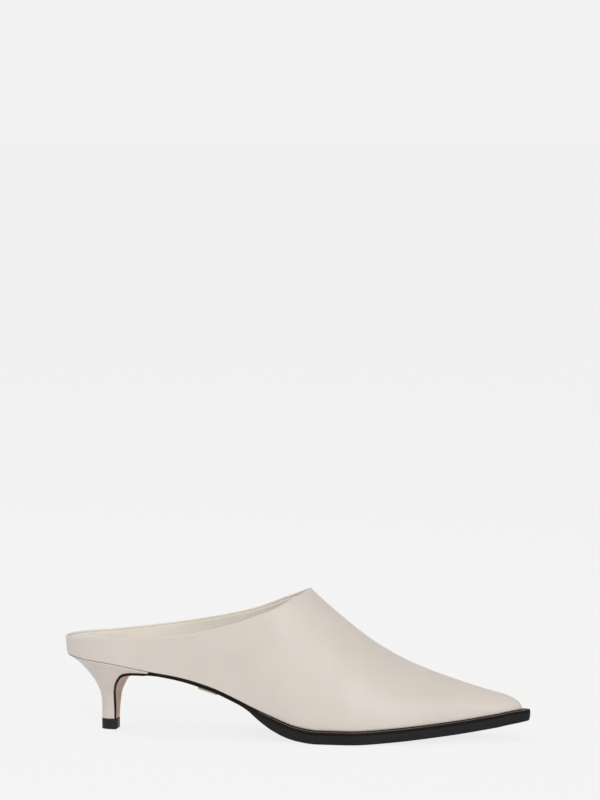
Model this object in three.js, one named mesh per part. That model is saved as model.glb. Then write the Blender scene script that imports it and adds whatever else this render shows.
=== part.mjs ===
// A kitten-heel mule for the right foot: pointed toe, high closed vamp, low rim round the heel seat.
// Millimetres. X runs from the back of the heel to the toe, Y to the wearer's left, Z up from the floor.
import * as THREE from 'three';
import { mergeVertices } from 'three/addons/utils/BufferGeometryUtils.js';

// Driving dimensions of the whole shoe
const LENGTH = 270; // back of the upper to the tip of the sole
const BALL_WIDTH = 74; // across the upper's lower edge at the ball
const SEAT_WIDTH = 49; // across the upper's lower edge at the heel seat
const SEAT_HEIGHT = 45; // floor to the seat, at the back
const TOE_SPRING = 10.4; // how far the bed rises from the ball to the tip

// Upper
const WALL = 2.0; // leather, stiffener and lining together
const THROAT_REACH = 142.4; // back of the upper to the front of the opening
const THROAT_HEIGHT = 84; // floor to the front of the opening
const RIM_RISE = 8.8; // rim above the seat, at the back
const TOE_BOX = 11.1; // height of the toe box above the bed, behind the nose
const NOSE = 12.7; // length of the rounded nose
const HEEL_ROUND = 25; // length of the rounded heel end
const BACK_LEAN = 0.7; // lower edge forward of the rim at the back

// Sole, built up from the floor
const FOREFOOT_THICKNESS = 5;
const OUTSOLE_THICKNESS = 1.8;
const FLAP_THICKNESS = 1.1; // outsole where it runs down the front of the heel
const SKIVE_REACH = 108; // back of the upper to the thin edge of the forefoot sole
const SIDE_MARGIN = 1.8; // sole edge beyond the upper at the forefoot
const MARGIN_REACH = 95; // back of the upper to where the sole edge starts to stand out
const TOE_MARGIN = 4.9; // sole tip beyond the upper's nose
const BOTTOM_CHAMFER = 0.7;

// Insole
const INSOLE_HEEL = 9; // thickness under the heel of the foot, padding included
const INSOLE_FOREFOOT = 3.5;
const INSOLE_END = 15; // from the front of the insole to the sole tip

// Heel
const TIP_HEIGHT = 6.1; // height of the top piece, which stands on the floor
const TIP_BACK = 21; // back of the upper to the back of the tip
const TIP_LENGTH = 7.8; // heel core at the tip, without the outsole's flap
const TIP_WIDTH = 9.6;
const TIP_OVERHANG = 0.15; // top piece beyond the heel at the back and sides
const LIP_REACH = 52; // back of the upper to the front of the heel's lip
const LIP_EASE = 6; // the outsole's bend in front of the lip
const HEEL_INSET = 0.6; // heel cover inside the upper's outline at the seat

// Plain metal bar under the waist
const BAR_REACH = 81.5; // back of the upper to the back of the bar
const BAR_LENGTH = 11;
const BAR_WIDTH = 14;
const BAR_THICKNESS = 1.9;
const BAR_BEVEL = 0.5;
const BAR_EDGE = 4; // from the bar to the lateral edge of the waist

const GAP = 0.3; // between pieces that meet

// Mesh density
const ROWS = 12;
const NOSE_STEPS = 6;
const VAMP_STEPS = 17;
const COLLAR_STEPS = 18;
const HEEL_STEPS = 8;
const ACROSS = 6;
const SOLE_STEPS = 36;

const LATERAL = -1;
const MEDIAL = 1;

// Worked out from the sizes above
const BALL_BED = FOREFOOT_THICKNESS + OUTSOLE_THICKNESS + 2 * GAP;
const NOSE_TIP = LENGTH - TOE_MARGIN;
const NOSE_START = NOSE_TIP - NOSE;

// Half widths of the upper's lower edge, as shares of the width named in the row
const OUTLINE = [
  { along: 0.093, width: SEAT_WIDTH, lateral: 0.5, medial: 0.5 },
  { along: 0.148, width: SEAT_WIDTH, lateral: 0.506, medial: 0.494 },
  { along: 0.204, width: SEAT_WIDTH, lateral: 0.502, medial: 0.465 },
  { along: 0.278, width: SEAT_WIDTH, lateral: 0.505, medial: 0.42 },
  { along: 0.352, width: BALL_WIDTH, lateral: 0.36, medial: 0.268 },
  { along: 0.426, width: BALL_WIDTH, lateral: 0.412, medial: 0.305 },
  { along: 0.5, width: BALL_WIDTH, lateral: 0.473, medial: 0.38 },
  { along: 0.563, width: BALL_WIDTH, lateral: 0.504, medial: 0.447 },
  { along: 0.622, width: BALL_WIDTH, lateral: 0.507, medial: 0.487 },
  { along: 0.678, width: BALL_WIDTH, lateral: 0.48, medial: 0.493 },
  { along: 0.733, width: BALL_WIDTH, lateral: 0.426, medial: 0.458 },
  { along: 0.785, width: BALL_WIDTH, lateral: 0.352, medial: 0.396 },
  { along: 0.844, width: BALL_WIDTH, lateral: 0.252, medial: 0.303 },
  { along: 0.896, width: BALL_WIDTH, lateral: 0.166, medial: 0.208 },
  { along: 0.937, width: BALL_WIDTH, lateral: 0.108, medial: 0.132 },
];

// Bed that the foot stands over: shares of the rise to the seat and of the toe spring
const BED = [
  { along: 0.0, seat: 1.0, toe: 0 },
  { along: 0.05, seat: 0.947, toe: 0 },
  { along: 0.1, seat: 0.904, toe: 0 },
  { along: 0.193, seat: 0.797, toe: 0 },
  { along: 0.263, seat: 0.713, toe: 0 },
  { along: 0.333, seat: 0.573, toe: 0 },
  { along: 0.4, seat: 0.39, toe: 0 },
  { along: 0.47, seat: 0.18, toe: 0 },
  { along: 0.526, seat: 0.04, toe: 0 },
  { along: 0.57, seat: 0, toe: 0 },
  { along: 0.64, seat: 0, toe: 0 },
  { along: 0.715, seat: 0, toe: 0.114 },
  { along: 0.785, seat: 0, toe: 0.27 },
  { along: 0.856, seat: 0, toe: 0.46 },
  { along: 0.928, seat: 0, toe: 0.728 },
  { along: 0.965, seat: 0, toe: 0.9 },
  { along: 1.0, seat: 0, toe: 1.0 },
];

// Ridge of the last: along from the throat (0) to the nose (1), up as a share of the throat's height
// over the toe box. Behind the throat it is the cone of the last, which only shapes the low walls.
const RIDGE = [
  { along: -1.1, up: 2.0 },
  { along: -0.5, up: 1.72 },
  { along: -0.2, up: 1.33 },
  { along: 0, up: 1.0 },
  { along: 0.08, up: 0.862 },
  { along: 0.175, up: 0.709 },
  { along: 0.27, up: 0.565 },
  { along: 0.363, up: 0.443 },
  { along: 0.5, up: 0.303 },
  { along: 0.64, up: 0.197 },
  { along: 0.78, up: 0.112 },
  { along: 0.92, up: 0.036 },
  { along: 1.0, up: 0 },
];

// Cross-sections of the last. Lean and sway are shares of the ball width: how far the side swells
// outwards, and how far the ridge lies to the medial side. Rise is the share of the height at which
// the side turns in, and crown the share of the half width that the top stays flat for.
const SECTIONS = [
  { along: 0.0, lean: 0.05, rise: 0.3, crown: 0.55, sway: 0 },
  { along: 0.093, lean: 0.016, rise: 0.3, crown: 0.56, sway: 0 },
  { along: 0.2, lean: 0.02, rise: 0.3, crown: 0.58, sway: 0.01 },
  { along: 0.4, lean: 0.03, rise: 0.34, crown: 0.6, sway: 0.025 },
  { along: 0.53, lean: 0.026, rise: 0.36, crown: 0.6, sway: 0.03 },
  { along: 0.65, lean: 0.016, rise: 0.42, crown: 0.6, sway: 0.032 },
  { along: 0.8, lean: 0.01, rise: 0.5, crown: 0.58, sway: 0.022 },
  { along: 0.937, lean: 0.005, rise: 0.5, crown: 0.5, sway: 0.008 },
];

// Edge of the opening seen from the side: along from the back (0) to the throat (1), up from the rim
// at the back (0) to the throat (1)
const TOPLINE = [
  { along: 0.0, lateral: 0, medial: 0 },
  { along: 0.13, lateral: 0.03, medial: 0.005 },
  { along: 0.26, lateral: 0.07, medial: 0.08 },
  { along: 0.386, lateral: 0.1, medial: 0.174 },
  { along: 0.5, lateral: 0.15, medial: 0.274 },
  { along: 0.63, lateral: 0.27, medial: 0.392 },
  { along: 0.74, lateral: 0.4, medial: 0.517 },
  { along: 0.83, lateral: 0.55, medial: 0.665 },
  { along: 0.9, lateral: 0.72, medial: 0.8 },
  { along: 0.945, lateral: 0.87, medial: 0.885 },
  { along: 1.0, lateral: 1, medial: 1 },
];

// Heel from its tip (up 0) to the seat (up 1). Back and front are the shares of the way from the tip
// to the back of the seat and to the lip; width is the share of the seat's width beyond the tip's.
const HEEL = [
  { up: 0.0, back: 0, front: 0, width: 0 },
  { up: 0.15, back: 0, front: 0, width: 0.02 },
  { up: 0.3, back: 0.005, front: 0.005, width: 0.09 },
  { up: 0.44, back: 0.05, front: 0.02, width: 0.21 },
  { up: 0.54, back: 0.12, front: 0.06, width: 0.38 },
  { up: 0.64, back: 0.215, front: 0.135, width: 0.57 },
  { up: 0.74, back: 0.36, front: 0.25, width: 0.73 },
  { up: 0.84, back: 0.55, front: 0.42, width: 0.87 },
  { up: 0.91, back: 0.71, front: 0.64, width: 0.95 },
  { up: 0.955, back: 0.83, front: 0.86, width: 0.985 },
  { up: 0.98, back: 0.9, front: 1.0, width: 1.0 },
  { up: 1.0, back: 0.955, front: 1.0, width: 1.0 },
];

// Thickness of the forefoot sole from its skived edge (0) to the sole tip (1), as a share of the
// thickness under the ball. It lies flat on the floor where the bed is level and the share is 1.
const FOREFOOT = [
  { along: 0.0, share: 0.06 },
  { along: 0.025, share: 0.18 },
  { along: 0.056, share: 0.54 },
  { along: 0.087, share: 0.82 },
  { along: 0.12, share: 1.0 },
  { along: 0.16, share: 1.08 },
  { along: 0.2, share: 1.06 },
  { along: 0.24, share: 1.02 },
  { along: 0.28, share: 1.0 },
  { along: 0.42, share: 1.0 },
  { along: 0.86, share: 1.0 },
  { along: 0.94, share: 0.97 },
  { along: 1.0, share: 0.85 },
];
const BALL_END = 0.57; // share of the length at which the sole is full and the margin complete

/** Monotone cubic through a column of a table, so that flat stretches stay flat. */
function read(rows, column, at, key = 'along') {
  const last = rows.length - 1;
  if (at <= rows[0][key]) return rows[0][column];
  if (at >= rows[last][key]) return rows[last][column];
  const secant = (k) => (rows[k + 1][column] - rows[k][column]) / (rows[k + 1][key] - rows[k][key]);
  const tangent = (k) => {
    if (k === 0) return secant(0);
    if (k === last) return secant(last - 1);
    const before = secant(k - 1);
    const after = secant(k);
    return before * after > 0 ? (2 * before * after) / (before + after) : 0;
  };
  const k = rows.findIndex((row) => row[key] > at) - 1;
  const step = rows[k + 1][key] - rows[k][key];
  const t = (at - rows[k][key]) / step;
  const start = rows[k][column] * (1 + 2 * t) * (1 - t) ** 2;
  const end = rows[k + 1][column] * t ** 2 * (3 - 2 * t);
  return start + end + step * (tangent(k) * t * (1 - t) ** 2 - tangent(k + 1) * t ** 2 * (1 - t));
}

/** Slope of a function of x. */
function slopeOf(f, x, step = 0.01) {
  return (f(x + step) - f(x - step)) / (2 * step);
}

const sideName = (side) => (side === LATERAL ? 'lateral' : 'medial');

/** Height of the bed, on which the upper's lower edge and the insole lie. */
function bed(x) {
  const seat = read(BED, 'seat', x / LENGTH) * (SEAT_HEIGHT - BALL_BED);
  return BALL_BED + seat + read(BED, 'toe', x / LENGTH) * TOE_SPRING;
}

/** How much longer a layer's upright thickness is where the bed slopes. */
function stretch(x) {
  return Math.hypot(1, slopeOf(bed, x));
}

/** Half width of the upper's lower edge, between the heel's round and the nose. */
function halfWidth(side, x) {
  const rows = OUTLINE.map((row) => ({ along: row.along, half: row.width * row[sideName(side)] }));
  return read(rows, 'half', x / LENGTH);
}

const noseHeight = bed(NOSE_START) + TOE_BOX;

/** Height of the last's ridge, real in front of the throat and virtual behind it. */
function ridge(x) {
  const share = read(RIDGE, 'up', (x - THROAT_REACH) / (NOSE_START - THROAT_REACH));
  return noseHeight + (THROAT_HEIGHT - noseHeight) * share;
}

/** Height of the edge of the opening. */
function topline(side, x) {
  const rim = bed(0) + RIM_RISE;
  const share = read(TOPLINE, sideName(side), Math.max(0, x) / THROAT_REACH);
  return rim + (THROAT_HEIGHT - rim) * share;
}

/** Point of the outline on the nose, from the side (0) to the tip (1), seen from above. */
function nosePoint(side, share, margin, tip) {
  const half = halfWidth(side, NOSE_START) + margin;
  const taper = slopeOf((x) => halfWidth(side, x), NOSE_START - 1);
  const corner = half + taper * (tip - NOSE_START);
  const x = NOSE_START + (tip - NOSE_START) * (2 * share - share ** 2);
  return new THREE.Vector2(x, side * (half * (1 - share) ** 2 + 2 * corner * share * (1 - share)));
}

/** One section of the last: a curve from the lower edge up to the ridge. */
function section(foot, top, end) {
  const at = Math.min(foot.x, NOSE_START) / LENGTH;
  const reach = foot.distanceTo(top);
  const out = foot.clone().sub(top).normalize();
  const low = new THREE.Vector3(foot.x, foot.y, bed(foot.x));
  const high = new THREE.Vector3(top.x, top.y, ridge(top.x));
  const crown = read(SECTIONS, 'crown', at) * reach;
  const lean = read(SECTIONS, 'lean', at) * BALL_WIDTH;
  const fall = end ? slopeOf(ridge, NOSE_START - 1) * out.x : 0;
  const side = low.clone().add(new THREE.Vector3(out.x * lean, out.y * lean, 0));
  side.z += read(SECTIONS, 'rise', at) * (high.z - low.z);
  const turn = high.clone().add(new THREE.Vector3(out.x * crown, out.y * crown, fall * crown));
  return { curve: new THREE.CubicBezierCurve3(low, side, turn, high), out, x: top.x };
}

/** Sections of one side, from the tip of the nose back round to the middle of the heel. */
function sideSections(side) {
  const sway = (x) => read(SECTIONS, 'sway', x / LENGTH) * BALL_WIDTH;
  const pole = new THREE.Vector2(NOSE_START, sway(NOSE_START));
  const heart = new THREE.Vector2(HEEL_ROUND, 0);
  const made = [];
  for (let k = 0; k < NOSE_STEPS; k += 1) {
    made.push(section(nosePoint(side, 1 - k / NOSE_STEPS, 0, NOSE_TIP), pole, true));
  }
  const across = (x) => {
    const foot = new THREE.Vector2(x, side * halfWidth(side, x));
    made.push(section(foot, new THREE.Vector2(x, sway(x) * (x > HEEL_ROUND ? 1 : 0)), false));
  };
  for (let k = 0; k < VAMP_STEPS; k += 1) {
    across(NOSE_START + ((THROAT_REACH - NOSE_START) * k) / VAMP_STEPS);
  }
  for (let k = 0; k < COLLAR_STEPS; k += 1) {
    across(THROAT_REACH + (HEEL_ROUND - THROAT_REACH) * (k / COLLAR_STEPS) ** 1.5);
  }
  for (let k = 0; k <= HEEL_STEPS; k += 1) {
    const turn = (Math.PI / 2) * (1 - k / HEEL_STEPS);
    const half = halfWidth(side, HEEL_ROUND);
    const x = HEEL_ROUND - (HEEL_ROUND - BACK_LEAN) * Math.cos(turn);
    const foot = new THREE.Vector2(x, side * half * Math.sin(turn));
    made.push(section(foot, heart, false));
  }
  return made.map((one) => ({ ...one, side, end: cutAt(side, one) }));
}

/** Share of a section's curve that lies under the opening's edge: 1 in front of the throat. */
function cutAt(side, { curve, x }) {
  if (x >= THROAT_REACH) return 1;
  let low = 0;
  let high = 1;
  for (let k = 0; k < 40; k += 1) {
    const middle = (low + high) / 2;
    const point = curve.getPoint(middle);
    if (point.z < topline(side, point.x)) low = middle;
    else high = middle;
  }
  return low;
}

/** A closed solid from triangles of points: vertices merged, slivers dropped, faces turned out. */
function solid(triangles) {
  const loose = new THREE.BufferGeometry().setFromPoints(triangles.flat());
  const merged = mergeVertices(loose, 1e-3);
  const index = merged.getIndex().array;
  const kept = [];
  let volume = 0;
  const at = (k) => new THREE.Vector3().fromBufferAttribute(merged.getAttribute('position'), k);
  for (let k = 0; k < index.length; k += 3) {
    const [a, b, c] = [index[k], index[k + 1], index[k + 2]];
    if (a === b || b === c || c === a) continue;
    kept.push(a, b, c);
    volume += at(a).dot(at(b).cross(at(c)));
  }
  merged.setIndex(volume < 0 ? kept.reverse() : kept);
  merged.computeVertexNormals();
  return merged;
}

/** Two triangles across four points taken in order round the quad. */
const quad = (a, b, c, d) => [[a, b, c], [a, c, d]];

/** A solid through loops of equally many points. Each end is closed by joining its two halves. */
function loft(loops) {
  const triangles = [];
  const count = loops[0].length;
  for (let k = 0; k + 1 < loops.length; k += 1) {
    for (let n = 0; n < count; n += 1) {
      const next = (n + 1) % count;
      triangles.push(...quad(loops[k][n], loops[k][next], loops[k + 1][next], loops[k + 1][n]));
    }
  }
  for (const [loop, flip] of [[loops[0], true], [loops.at(-1), false]]) {
    for (let n = 0; n < count / 2 - 1; n += 1) {
      const face = quad(loop[n], loop[n + 1], loop[count - 2 - n], loop[count - 1 - n]);
      triangles.push(...(flip ? face.map((t) => [...t].reverse()) : face));
    }
  }
  return solid(triangles);
}

/** Points across the shoe from its lateral to its medial edge at one x. */
function acrossLine(x, lateral, medial, height) {
  return Array.from({ length: ACROSS + 1 }, (_, k) => {
    const y = THREE.MathUtils.lerp(lateral, medial, k / ACROSS);
    return new THREE.Vector3(x, y, height);
  });
}

/** Outer faces of the upper's wall, and the same points moved in by the wall. */
function upperGrids(ring) {
  const outer = ring.map(({ curve, end }) => {
    return Array.from({ length: ROWS + 1 }, (_, row) => curve.getPoint((end * row) / ROWS));
  });
  const inner = outer.map((points, k) => points.map((point, row) => {
    const before = outer[(k + outer.length - 1) % outer.length][row];
    const after = outer[(k + 1) % outer.length][row];
    const along = after.clone().sub(before);
    const up = points[Math.min(row + 1, ROWS)].clone().sub(points[Math.max(row - 1, 0)]);
    let normal = along.cross(up).normalize();
    if (row === ROWS && ring[k].end === 1) {
      const x = Math.min(ring[k].x, NOSE_START - 1);
      normal = new THREE.Vector3(-slopeOf(ridge, x), 0, 1).normalize();
    }
    if (normal.dot(new THREE.Vector3(ring[k].out.x, ring[k].out.y, 1)) < 0) normal.negate();
    const moved = point.clone().addScaledVector(normal, -WALL);
    if (row === 0) moved.z = bed(moved.x);
    return moved;
  }));
  return { outer, inner };
}

/** The upper: one hollow wall, open at the collar and underneath. */
function upperGeometry(ring, { outer, inner }) {
  const triangles = [];
  for (let k = 0; k < ring.length; k += 1) {
    const next = (k + 1) % ring.length;
    for (let row = 0; row < ROWS; row += 1) {
      triangles.push(...quad(outer[k][row], outer[next][row], outer[next][row + 1], outer[k][row + 1]));
      triangles.push(...quad(inner[k][row + 1], inner[next][row + 1], inner[next][row], inner[k][row]));
    }
    triangles.push(...quad(outer[next][0], outer[k][0], inner[k][0], inner[next][0]));
    if (ring[k].end < 1 || ring[next].end < 1) {
      triangles.push(...quad(outer[k][ROWS], outer[next][ROWS], inner[next][ROWS], inner[k][ROWS]));
    }
  }
  return solid(triangles);
}

/** Thickness of the insole at x, thick under the heel and thin under the forefoot. */
function insoleThickness(x) {
  const share = THREE.MathUtils.smoothstep(x, LIP_REACH, LENGTH * BALL_END);
  return THREE.MathUtils.lerp(INSOLE_HEEL, INSOLE_FOREFOOT, share);
}

/** Point of a wall's inner face at a height above the bed, moved in by the gap. */
function besideWall(points, out, rise) {
  const above = (point) => point.z - bed(point.x) - rise;
  let k = 0;
  while (k + 2 < points.length && above(points[k + 1]) < 0) k += 1;
  const low = above(points[k]);
  const high = above(points[k + 1]);
  const share = THREE.MathUtils.clamp(-low / (high - low), 0, 1);
  const point = points[k].clone().lerp(points[k + 1], share);
  return new THREE.Vector3(point.x - out.x * GAP, point.y - out.y * GAP, bed(point.x) + rise);
}

/** The insole fills the upper's inside from wall to wall. */
function insoleGeometry(ring, inner) {
  const half = ring.length / 2;
  const loops = [];
  for (let k = half; k > 0; k -= 1) {
    if (ring[k].x > LENGTH - INSOLE_END) break;
    const mirror = ring.length - k;
    const rise = insoleThickness(ring[k].x);
    const line = (height) => {
      const left = besideWall(inner[k], ring[k].out, height);
      const right = besideWall(inner[mirror], ring[mirror].out, height);
      return Array.from({ length: ACROSS + 1 }, (_, n) => left.clone().lerp(right, n / ACROSS));
    };
    loops.push([...line(rise), ...line(rise / 2).slice(-1), ...line(0).reverse(), line(rise / 2)[0]]);
  }
  return loft(loops.map((loop) => [loop.at(-1), ...loop.slice(0, -1)]));
}

/** Share of the way up the heel, turned into a height over the tip at x. */
function heelHeight(up, x) {
  const tip = TIP_HEIGHT + GAP;
  return tip + up * (bed(x) - GAP - tip);
}

/** Half width of the heel at a level. */
function heelHalf(side, up, x) {
  const seat = halfWidth(side, Math.max(x, HEEL_ROUND)) - HEEL_INSET;
  return THREE.MathUtils.lerp(TIP_WIDTH / 2, seat, read(HEEL, 'width', up, 'up'));
}

const heelFront = (up) => {
  return THREE.MathUtils.lerp(TIP_BACK + TIP_LENGTH, LIP_REACH, read(HEEL, 'front', up, 'up'));
};

const heelBack = (up) => {
  return THREE.MathUtils.lerp(TIP_BACK, BACK_LEAN + HEEL_INSET, read(HEEL, 'back', up, 'up'));
};

/** Outline of the heel at a level: a straight side, the round back and the other side. */
function heelOutline(up) {
  const front = heelFront(up);
  const back = heelBack(up);
  const round = Math.min(HEEL_ROUND * 0.96, (front - back) * 0.72);
  const straight = (side, share) => {
    const x = THREE.MathUtils.lerp(front, back + round, share);
    return new THREE.Vector2(x, side * heelHalf(side, up, x));
  };
  const sides = 5;
  const turns = 2 * HEEL_STEPS;
  const points = [];
  for (let k = 0; k < sides; k += 1) {
    points.push(straight(LATERAL, k / sides));
  }
  for (let k = 0; k <= turns; k += 1) {
    const turn = Math.PI * (k / turns - 0.5);
    const half = heelHalf(turn < 0 ? LATERAL : MEDIAL, up, back + round);
    points.push(new THREE.Vector2(back + round * (1 - Math.cos(turn)), half * Math.sin(turn)));
  }
  for (let k = sides - 1; k >= 0; k -= 1) {
    points.push(straight(MEDIAL, k / sides));
  }
  return points;
}

/** The covered heel, from the tip up to the sloping seat. */
function heelGeometry() {
  return loft(HEEL.map(({ up }) => heelOutline(up).map(({ x, y }) => {
    return new THREE.Vector3(x, y, heelHeight(up, x));
  })));
}

/** The top piece under the heel and the foot of the outsole's flap. */
function topPieceGeometry() {
  const back = TIP_BACK - TIP_OVERHANG;
  const long = TIP_BACK + TIP_LENGTH + GAP + FLAP_THICKNESS - back;
  const wide = TIP_WIDTH / 2 + TIP_OVERHANG;
  const loop = (z, inset) => heelOutline(0).map(({ x, y }) => {
    const along = (x - TIP_BACK) / TIP_LENGTH;
    const across = y / (TIP_WIDTH / 2);
    return new THREE.Vector3(back + inset + along * (long - 2 * inset), across * (wide - inset), z);
  });
  const chamfer = BOTTOM_CHAMFER / 2;
  return loft([loop(0, chamfer), loop(chamfer, 0), loop(TIP_HEIGHT, 0)]);
}

/** Beyond the upper's outline: nothing at the waist, the full margin at the forefoot. */
function soleMargin(x) {
  return SIDE_MARGIN * THREE.MathUtils.smoothstep(x, MARGIN_REACH, LENGTH * BALL_END);
}

/** Stations of the sole from the tip back to an x: each with its two half widths. */
function soleStations(end) {
  const made = [];
  for (let k = 0; k < NOSE_STEPS; k += 1) {
    const points = [LATERAL, MEDIAL].map((side) => {
      return nosePoint(side, 1 - k / NOSE_STEPS, SIDE_MARGIN, LENGTH);
    });
    made.push({ x: points[0].x, lateral: points[0].y, medial: points[1].y });
  }
  for (let k = 0; k <= SOLE_STEPS; k += 1) {
    const x = NOSE_START + ((end - NOSE_START) * k) / SOLE_STEPS;
    const edge = (side) => side * (halfWidth(side, x) + soleMargin(x));
    made.push({ x, lateral: edge(LATERAL), medial: edge(MEDIAL) });
  }
  return made;
}

/** Underside of the outsole at x. */
const underside = (x) => bed(x) - GAP - OUTSOLE_THICKNESS * stretch(x);

/** The thin outsole: under the whole shoe, then down the front of the heel as a flap. */
function outsoleGeometry() {
  const loops = soleStations(LIP_REACH + LIP_EASE).map(({ x, lateral, medial }) => {
    const top = acrossLine(x, lateral, medial, bed(x) - GAP);
    const low = acrossLine(x, lateral, medial, underside(x));
    return [...top, ...low.reverse()];
  });
  const flap = HEEL.slice(0, -1).reverse().map(({ up }) => up);
  flap.splice(1, 0, 0.968);
  const face = (up) => new THREE.Vector2(heelFront(up), heelHeight(up, heelFront(up)));
  for (const up of flap) {
    const step = 0.004;
    const tangent = face(Math.max(up - step, 0)).sub(face(Math.min(up + step, 0.98)));
    const normal = new THREE.Vector2(-tangent.y, tangent.x).normalize();
    const thin = THREE.MathUtils.smoothstep(1 - up, 0.02, 0.2);
    const thickness = THREE.MathUtils.lerp(OUTSOLE_THICKNESS, FLAP_THICKNESS, thin);
    const [near, far] = [GAP, GAP + thickness].map((d) => {
      const point = face(up).addScaledVector(normal, d);
      const edge = (side) => side * heelHalf(side, up, heelFront(up));
      return acrossLine(point.x, edge(LATERAL), edge(MEDIAL), point.y);
    });
    loops.push([...near, ...far.reverse()]);
  }
  return loft(loops);
}

/** The thick forefoot sole, skived to a thin edge at the waist and flat under the ball. */
function forefootGeometry() {
  const loops = soleStations(SKIVE_REACH).map(({ x, lateral, medial }) => {
    const top = underside(x) - GAP * stretch(x);
    const along = (x - SKIVE_REACH) / (LENGTH - SKIVE_REACH);
    const thickness = FOREFOOT_THICKNESS * read(FOREFOOT, 'share', along);
    const floor = top - thickness;
    const chamfer = Math.min(BOTTOM_CHAMFER, thickness / 4, (medial - lateral) / 4);
    const upper = acrossLine(x, lateral, medial, top);
    const side = [medial, lateral].map((y) => new THREE.Vector3(x, y, floor + chamfer));
    const lower = acrossLine(x, lateral + chamfer, medial - chamfer, floor).reverse();
    return [side[1], ...upper, side[0], ...lower];
  });
  return loft(loops.map((loop) => [...loop.slice(1), loop[0]]));
}

/** A plain bevelled metal bar set under the waist, near its lateral edge. */
function barGeometry() {
  const edge = -halfWidth(LATERAL, BAR_REACH) + BAR_EDGE;
  const slice = (inset, bevel) => {
    const x = BAR_REACH + inset;
    const top = underside(x) - GAP * stretch(x);
    const side = top - (BAR_THICKNESS - BAR_BEVEL) * stretch(x);
    const low = top - (BAR_THICKNESS - bevel) * stretch(x);
    const upper = acrossLine(x, edge, edge + BAR_WIDTH, top);
    const lower = acrossLine(x, edge + BAR_BEVEL, edge + BAR_WIDTH - BAR_BEVEL, low).reverse();
    const [near, far] = [edge, edge + BAR_WIDTH].map((y) => new THREE.Vector3(x, y, side));
    return [...upper, far, ...lower, near];
  };
  const middle = BAR_LENGTH - BAR_BEVEL;
  return loft([slice(0, BAR_BEVEL), slice(BAR_BEVEL, 0), slice(middle, 0), slice(BAR_LENGTH, BAR_BEVEL)]);
}

const leather = { color: 0xddd5cc, roughness: 0.5, metalness: 0 };
const FINISHES = {
  upper: leather,
  heel: leather,
  insole: { color: 0xd8d3c6, roughness: 0.6, metalness: 0 },
  outsole: { color: 0xb89b84, roughness: 0.6, metalness: 0 },
  forefoot_sole: { color: 0x262528, roughness: 0.55, metalness: 0 },
  top_piece: { color: 0x2a292d, roughness: 0.6, metalness: 0 },
  waist_bar: { color: 0xcbb98a, roughness: 0.25, metalness: 1 },
};

function mesh(name, geometry) {
  const made = new THREE.Mesh(geometry, new THREE.MeshStandardMaterial(FINISHES[name]));
  made.name = name;
  return made;
}

/** The whole shoe, with the origin on the floor under the middle of its box. */
function shoe() {
  const lateral = sideSections(LATERAL);
  const medial = sideSections(MEDIAL);
  const ring = [...lateral, ...medial.slice(1, -1).reverse()];
  const grids = upperGrids(ring);
  const group = new THREE.Group();
  group.add(
    mesh('upper', upperGeometry(ring, grids)),
    mesh('insole', insoleGeometry(ring, grids.inner)),
    mesh('outsole', outsoleGeometry()),
    mesh('forefoot_sole', forefootGeometry()),
    mesh('heel', heelGeometry()),
    mesh('top_piece', topPieceGeometry()),
    mesh('waist_bar', barGeometry()),
  );
  const middle = new THREE.Box3().setFromObject(group).getCenter(new THREE.Vector3());
  group.position.set(-middle.x, -middle.y, 0);
  return group;
}

export default shoe();
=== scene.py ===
"""Kitten-heel mule, right shoe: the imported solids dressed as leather, rubber and gilt metal.

Shapes are worked out in millimetres in the maker's frame, with X from the back of the heel to the
toe, and are moved to the row frame in metres when a mesh is made.
"""
import logging
import sys
from dataclasses import dataclass, field
from enum import Enum
from typing import Any, Callable, NamedTuple, Sequence

import bmesh
import bpy
import numpy as np
from bpy.types import NodeSocket, NodeTree
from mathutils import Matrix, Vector


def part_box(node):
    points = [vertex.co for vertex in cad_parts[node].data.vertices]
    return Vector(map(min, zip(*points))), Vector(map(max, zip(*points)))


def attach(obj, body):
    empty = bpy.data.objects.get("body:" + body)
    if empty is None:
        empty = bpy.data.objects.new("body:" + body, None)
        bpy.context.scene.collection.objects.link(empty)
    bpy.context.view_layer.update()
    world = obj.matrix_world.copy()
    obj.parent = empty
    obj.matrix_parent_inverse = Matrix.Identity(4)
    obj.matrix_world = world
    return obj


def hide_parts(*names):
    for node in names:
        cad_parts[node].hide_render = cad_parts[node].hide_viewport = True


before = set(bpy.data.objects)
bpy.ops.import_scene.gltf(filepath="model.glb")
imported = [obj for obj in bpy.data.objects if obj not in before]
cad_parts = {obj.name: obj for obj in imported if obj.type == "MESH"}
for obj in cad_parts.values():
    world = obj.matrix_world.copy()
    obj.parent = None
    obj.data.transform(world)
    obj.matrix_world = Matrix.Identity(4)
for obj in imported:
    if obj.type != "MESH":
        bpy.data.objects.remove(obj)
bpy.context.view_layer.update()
MM_PER_METRE = 1000.0
# Points closer than this are one point, and faces thinner than this are empty, in metres
MERGE_METRES = 2e-6
EMPTY_METRES = 1e-7
# Half of the step over which slopes are read, in millimetres
NUDGE = 0.01
Table = tuple[tuple[float, ...], ...]
log = logging.getLogger("mule")


class Side(Enum):
    """Side of the right shoe, with the sign of its Y."""

    LATERAL = -1
    MEDIAL = 1

    @property
    def column(self) -> int:
        """Column of this side in a table of both."""
        return 1 if self is Side.LATERAL else 2


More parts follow.
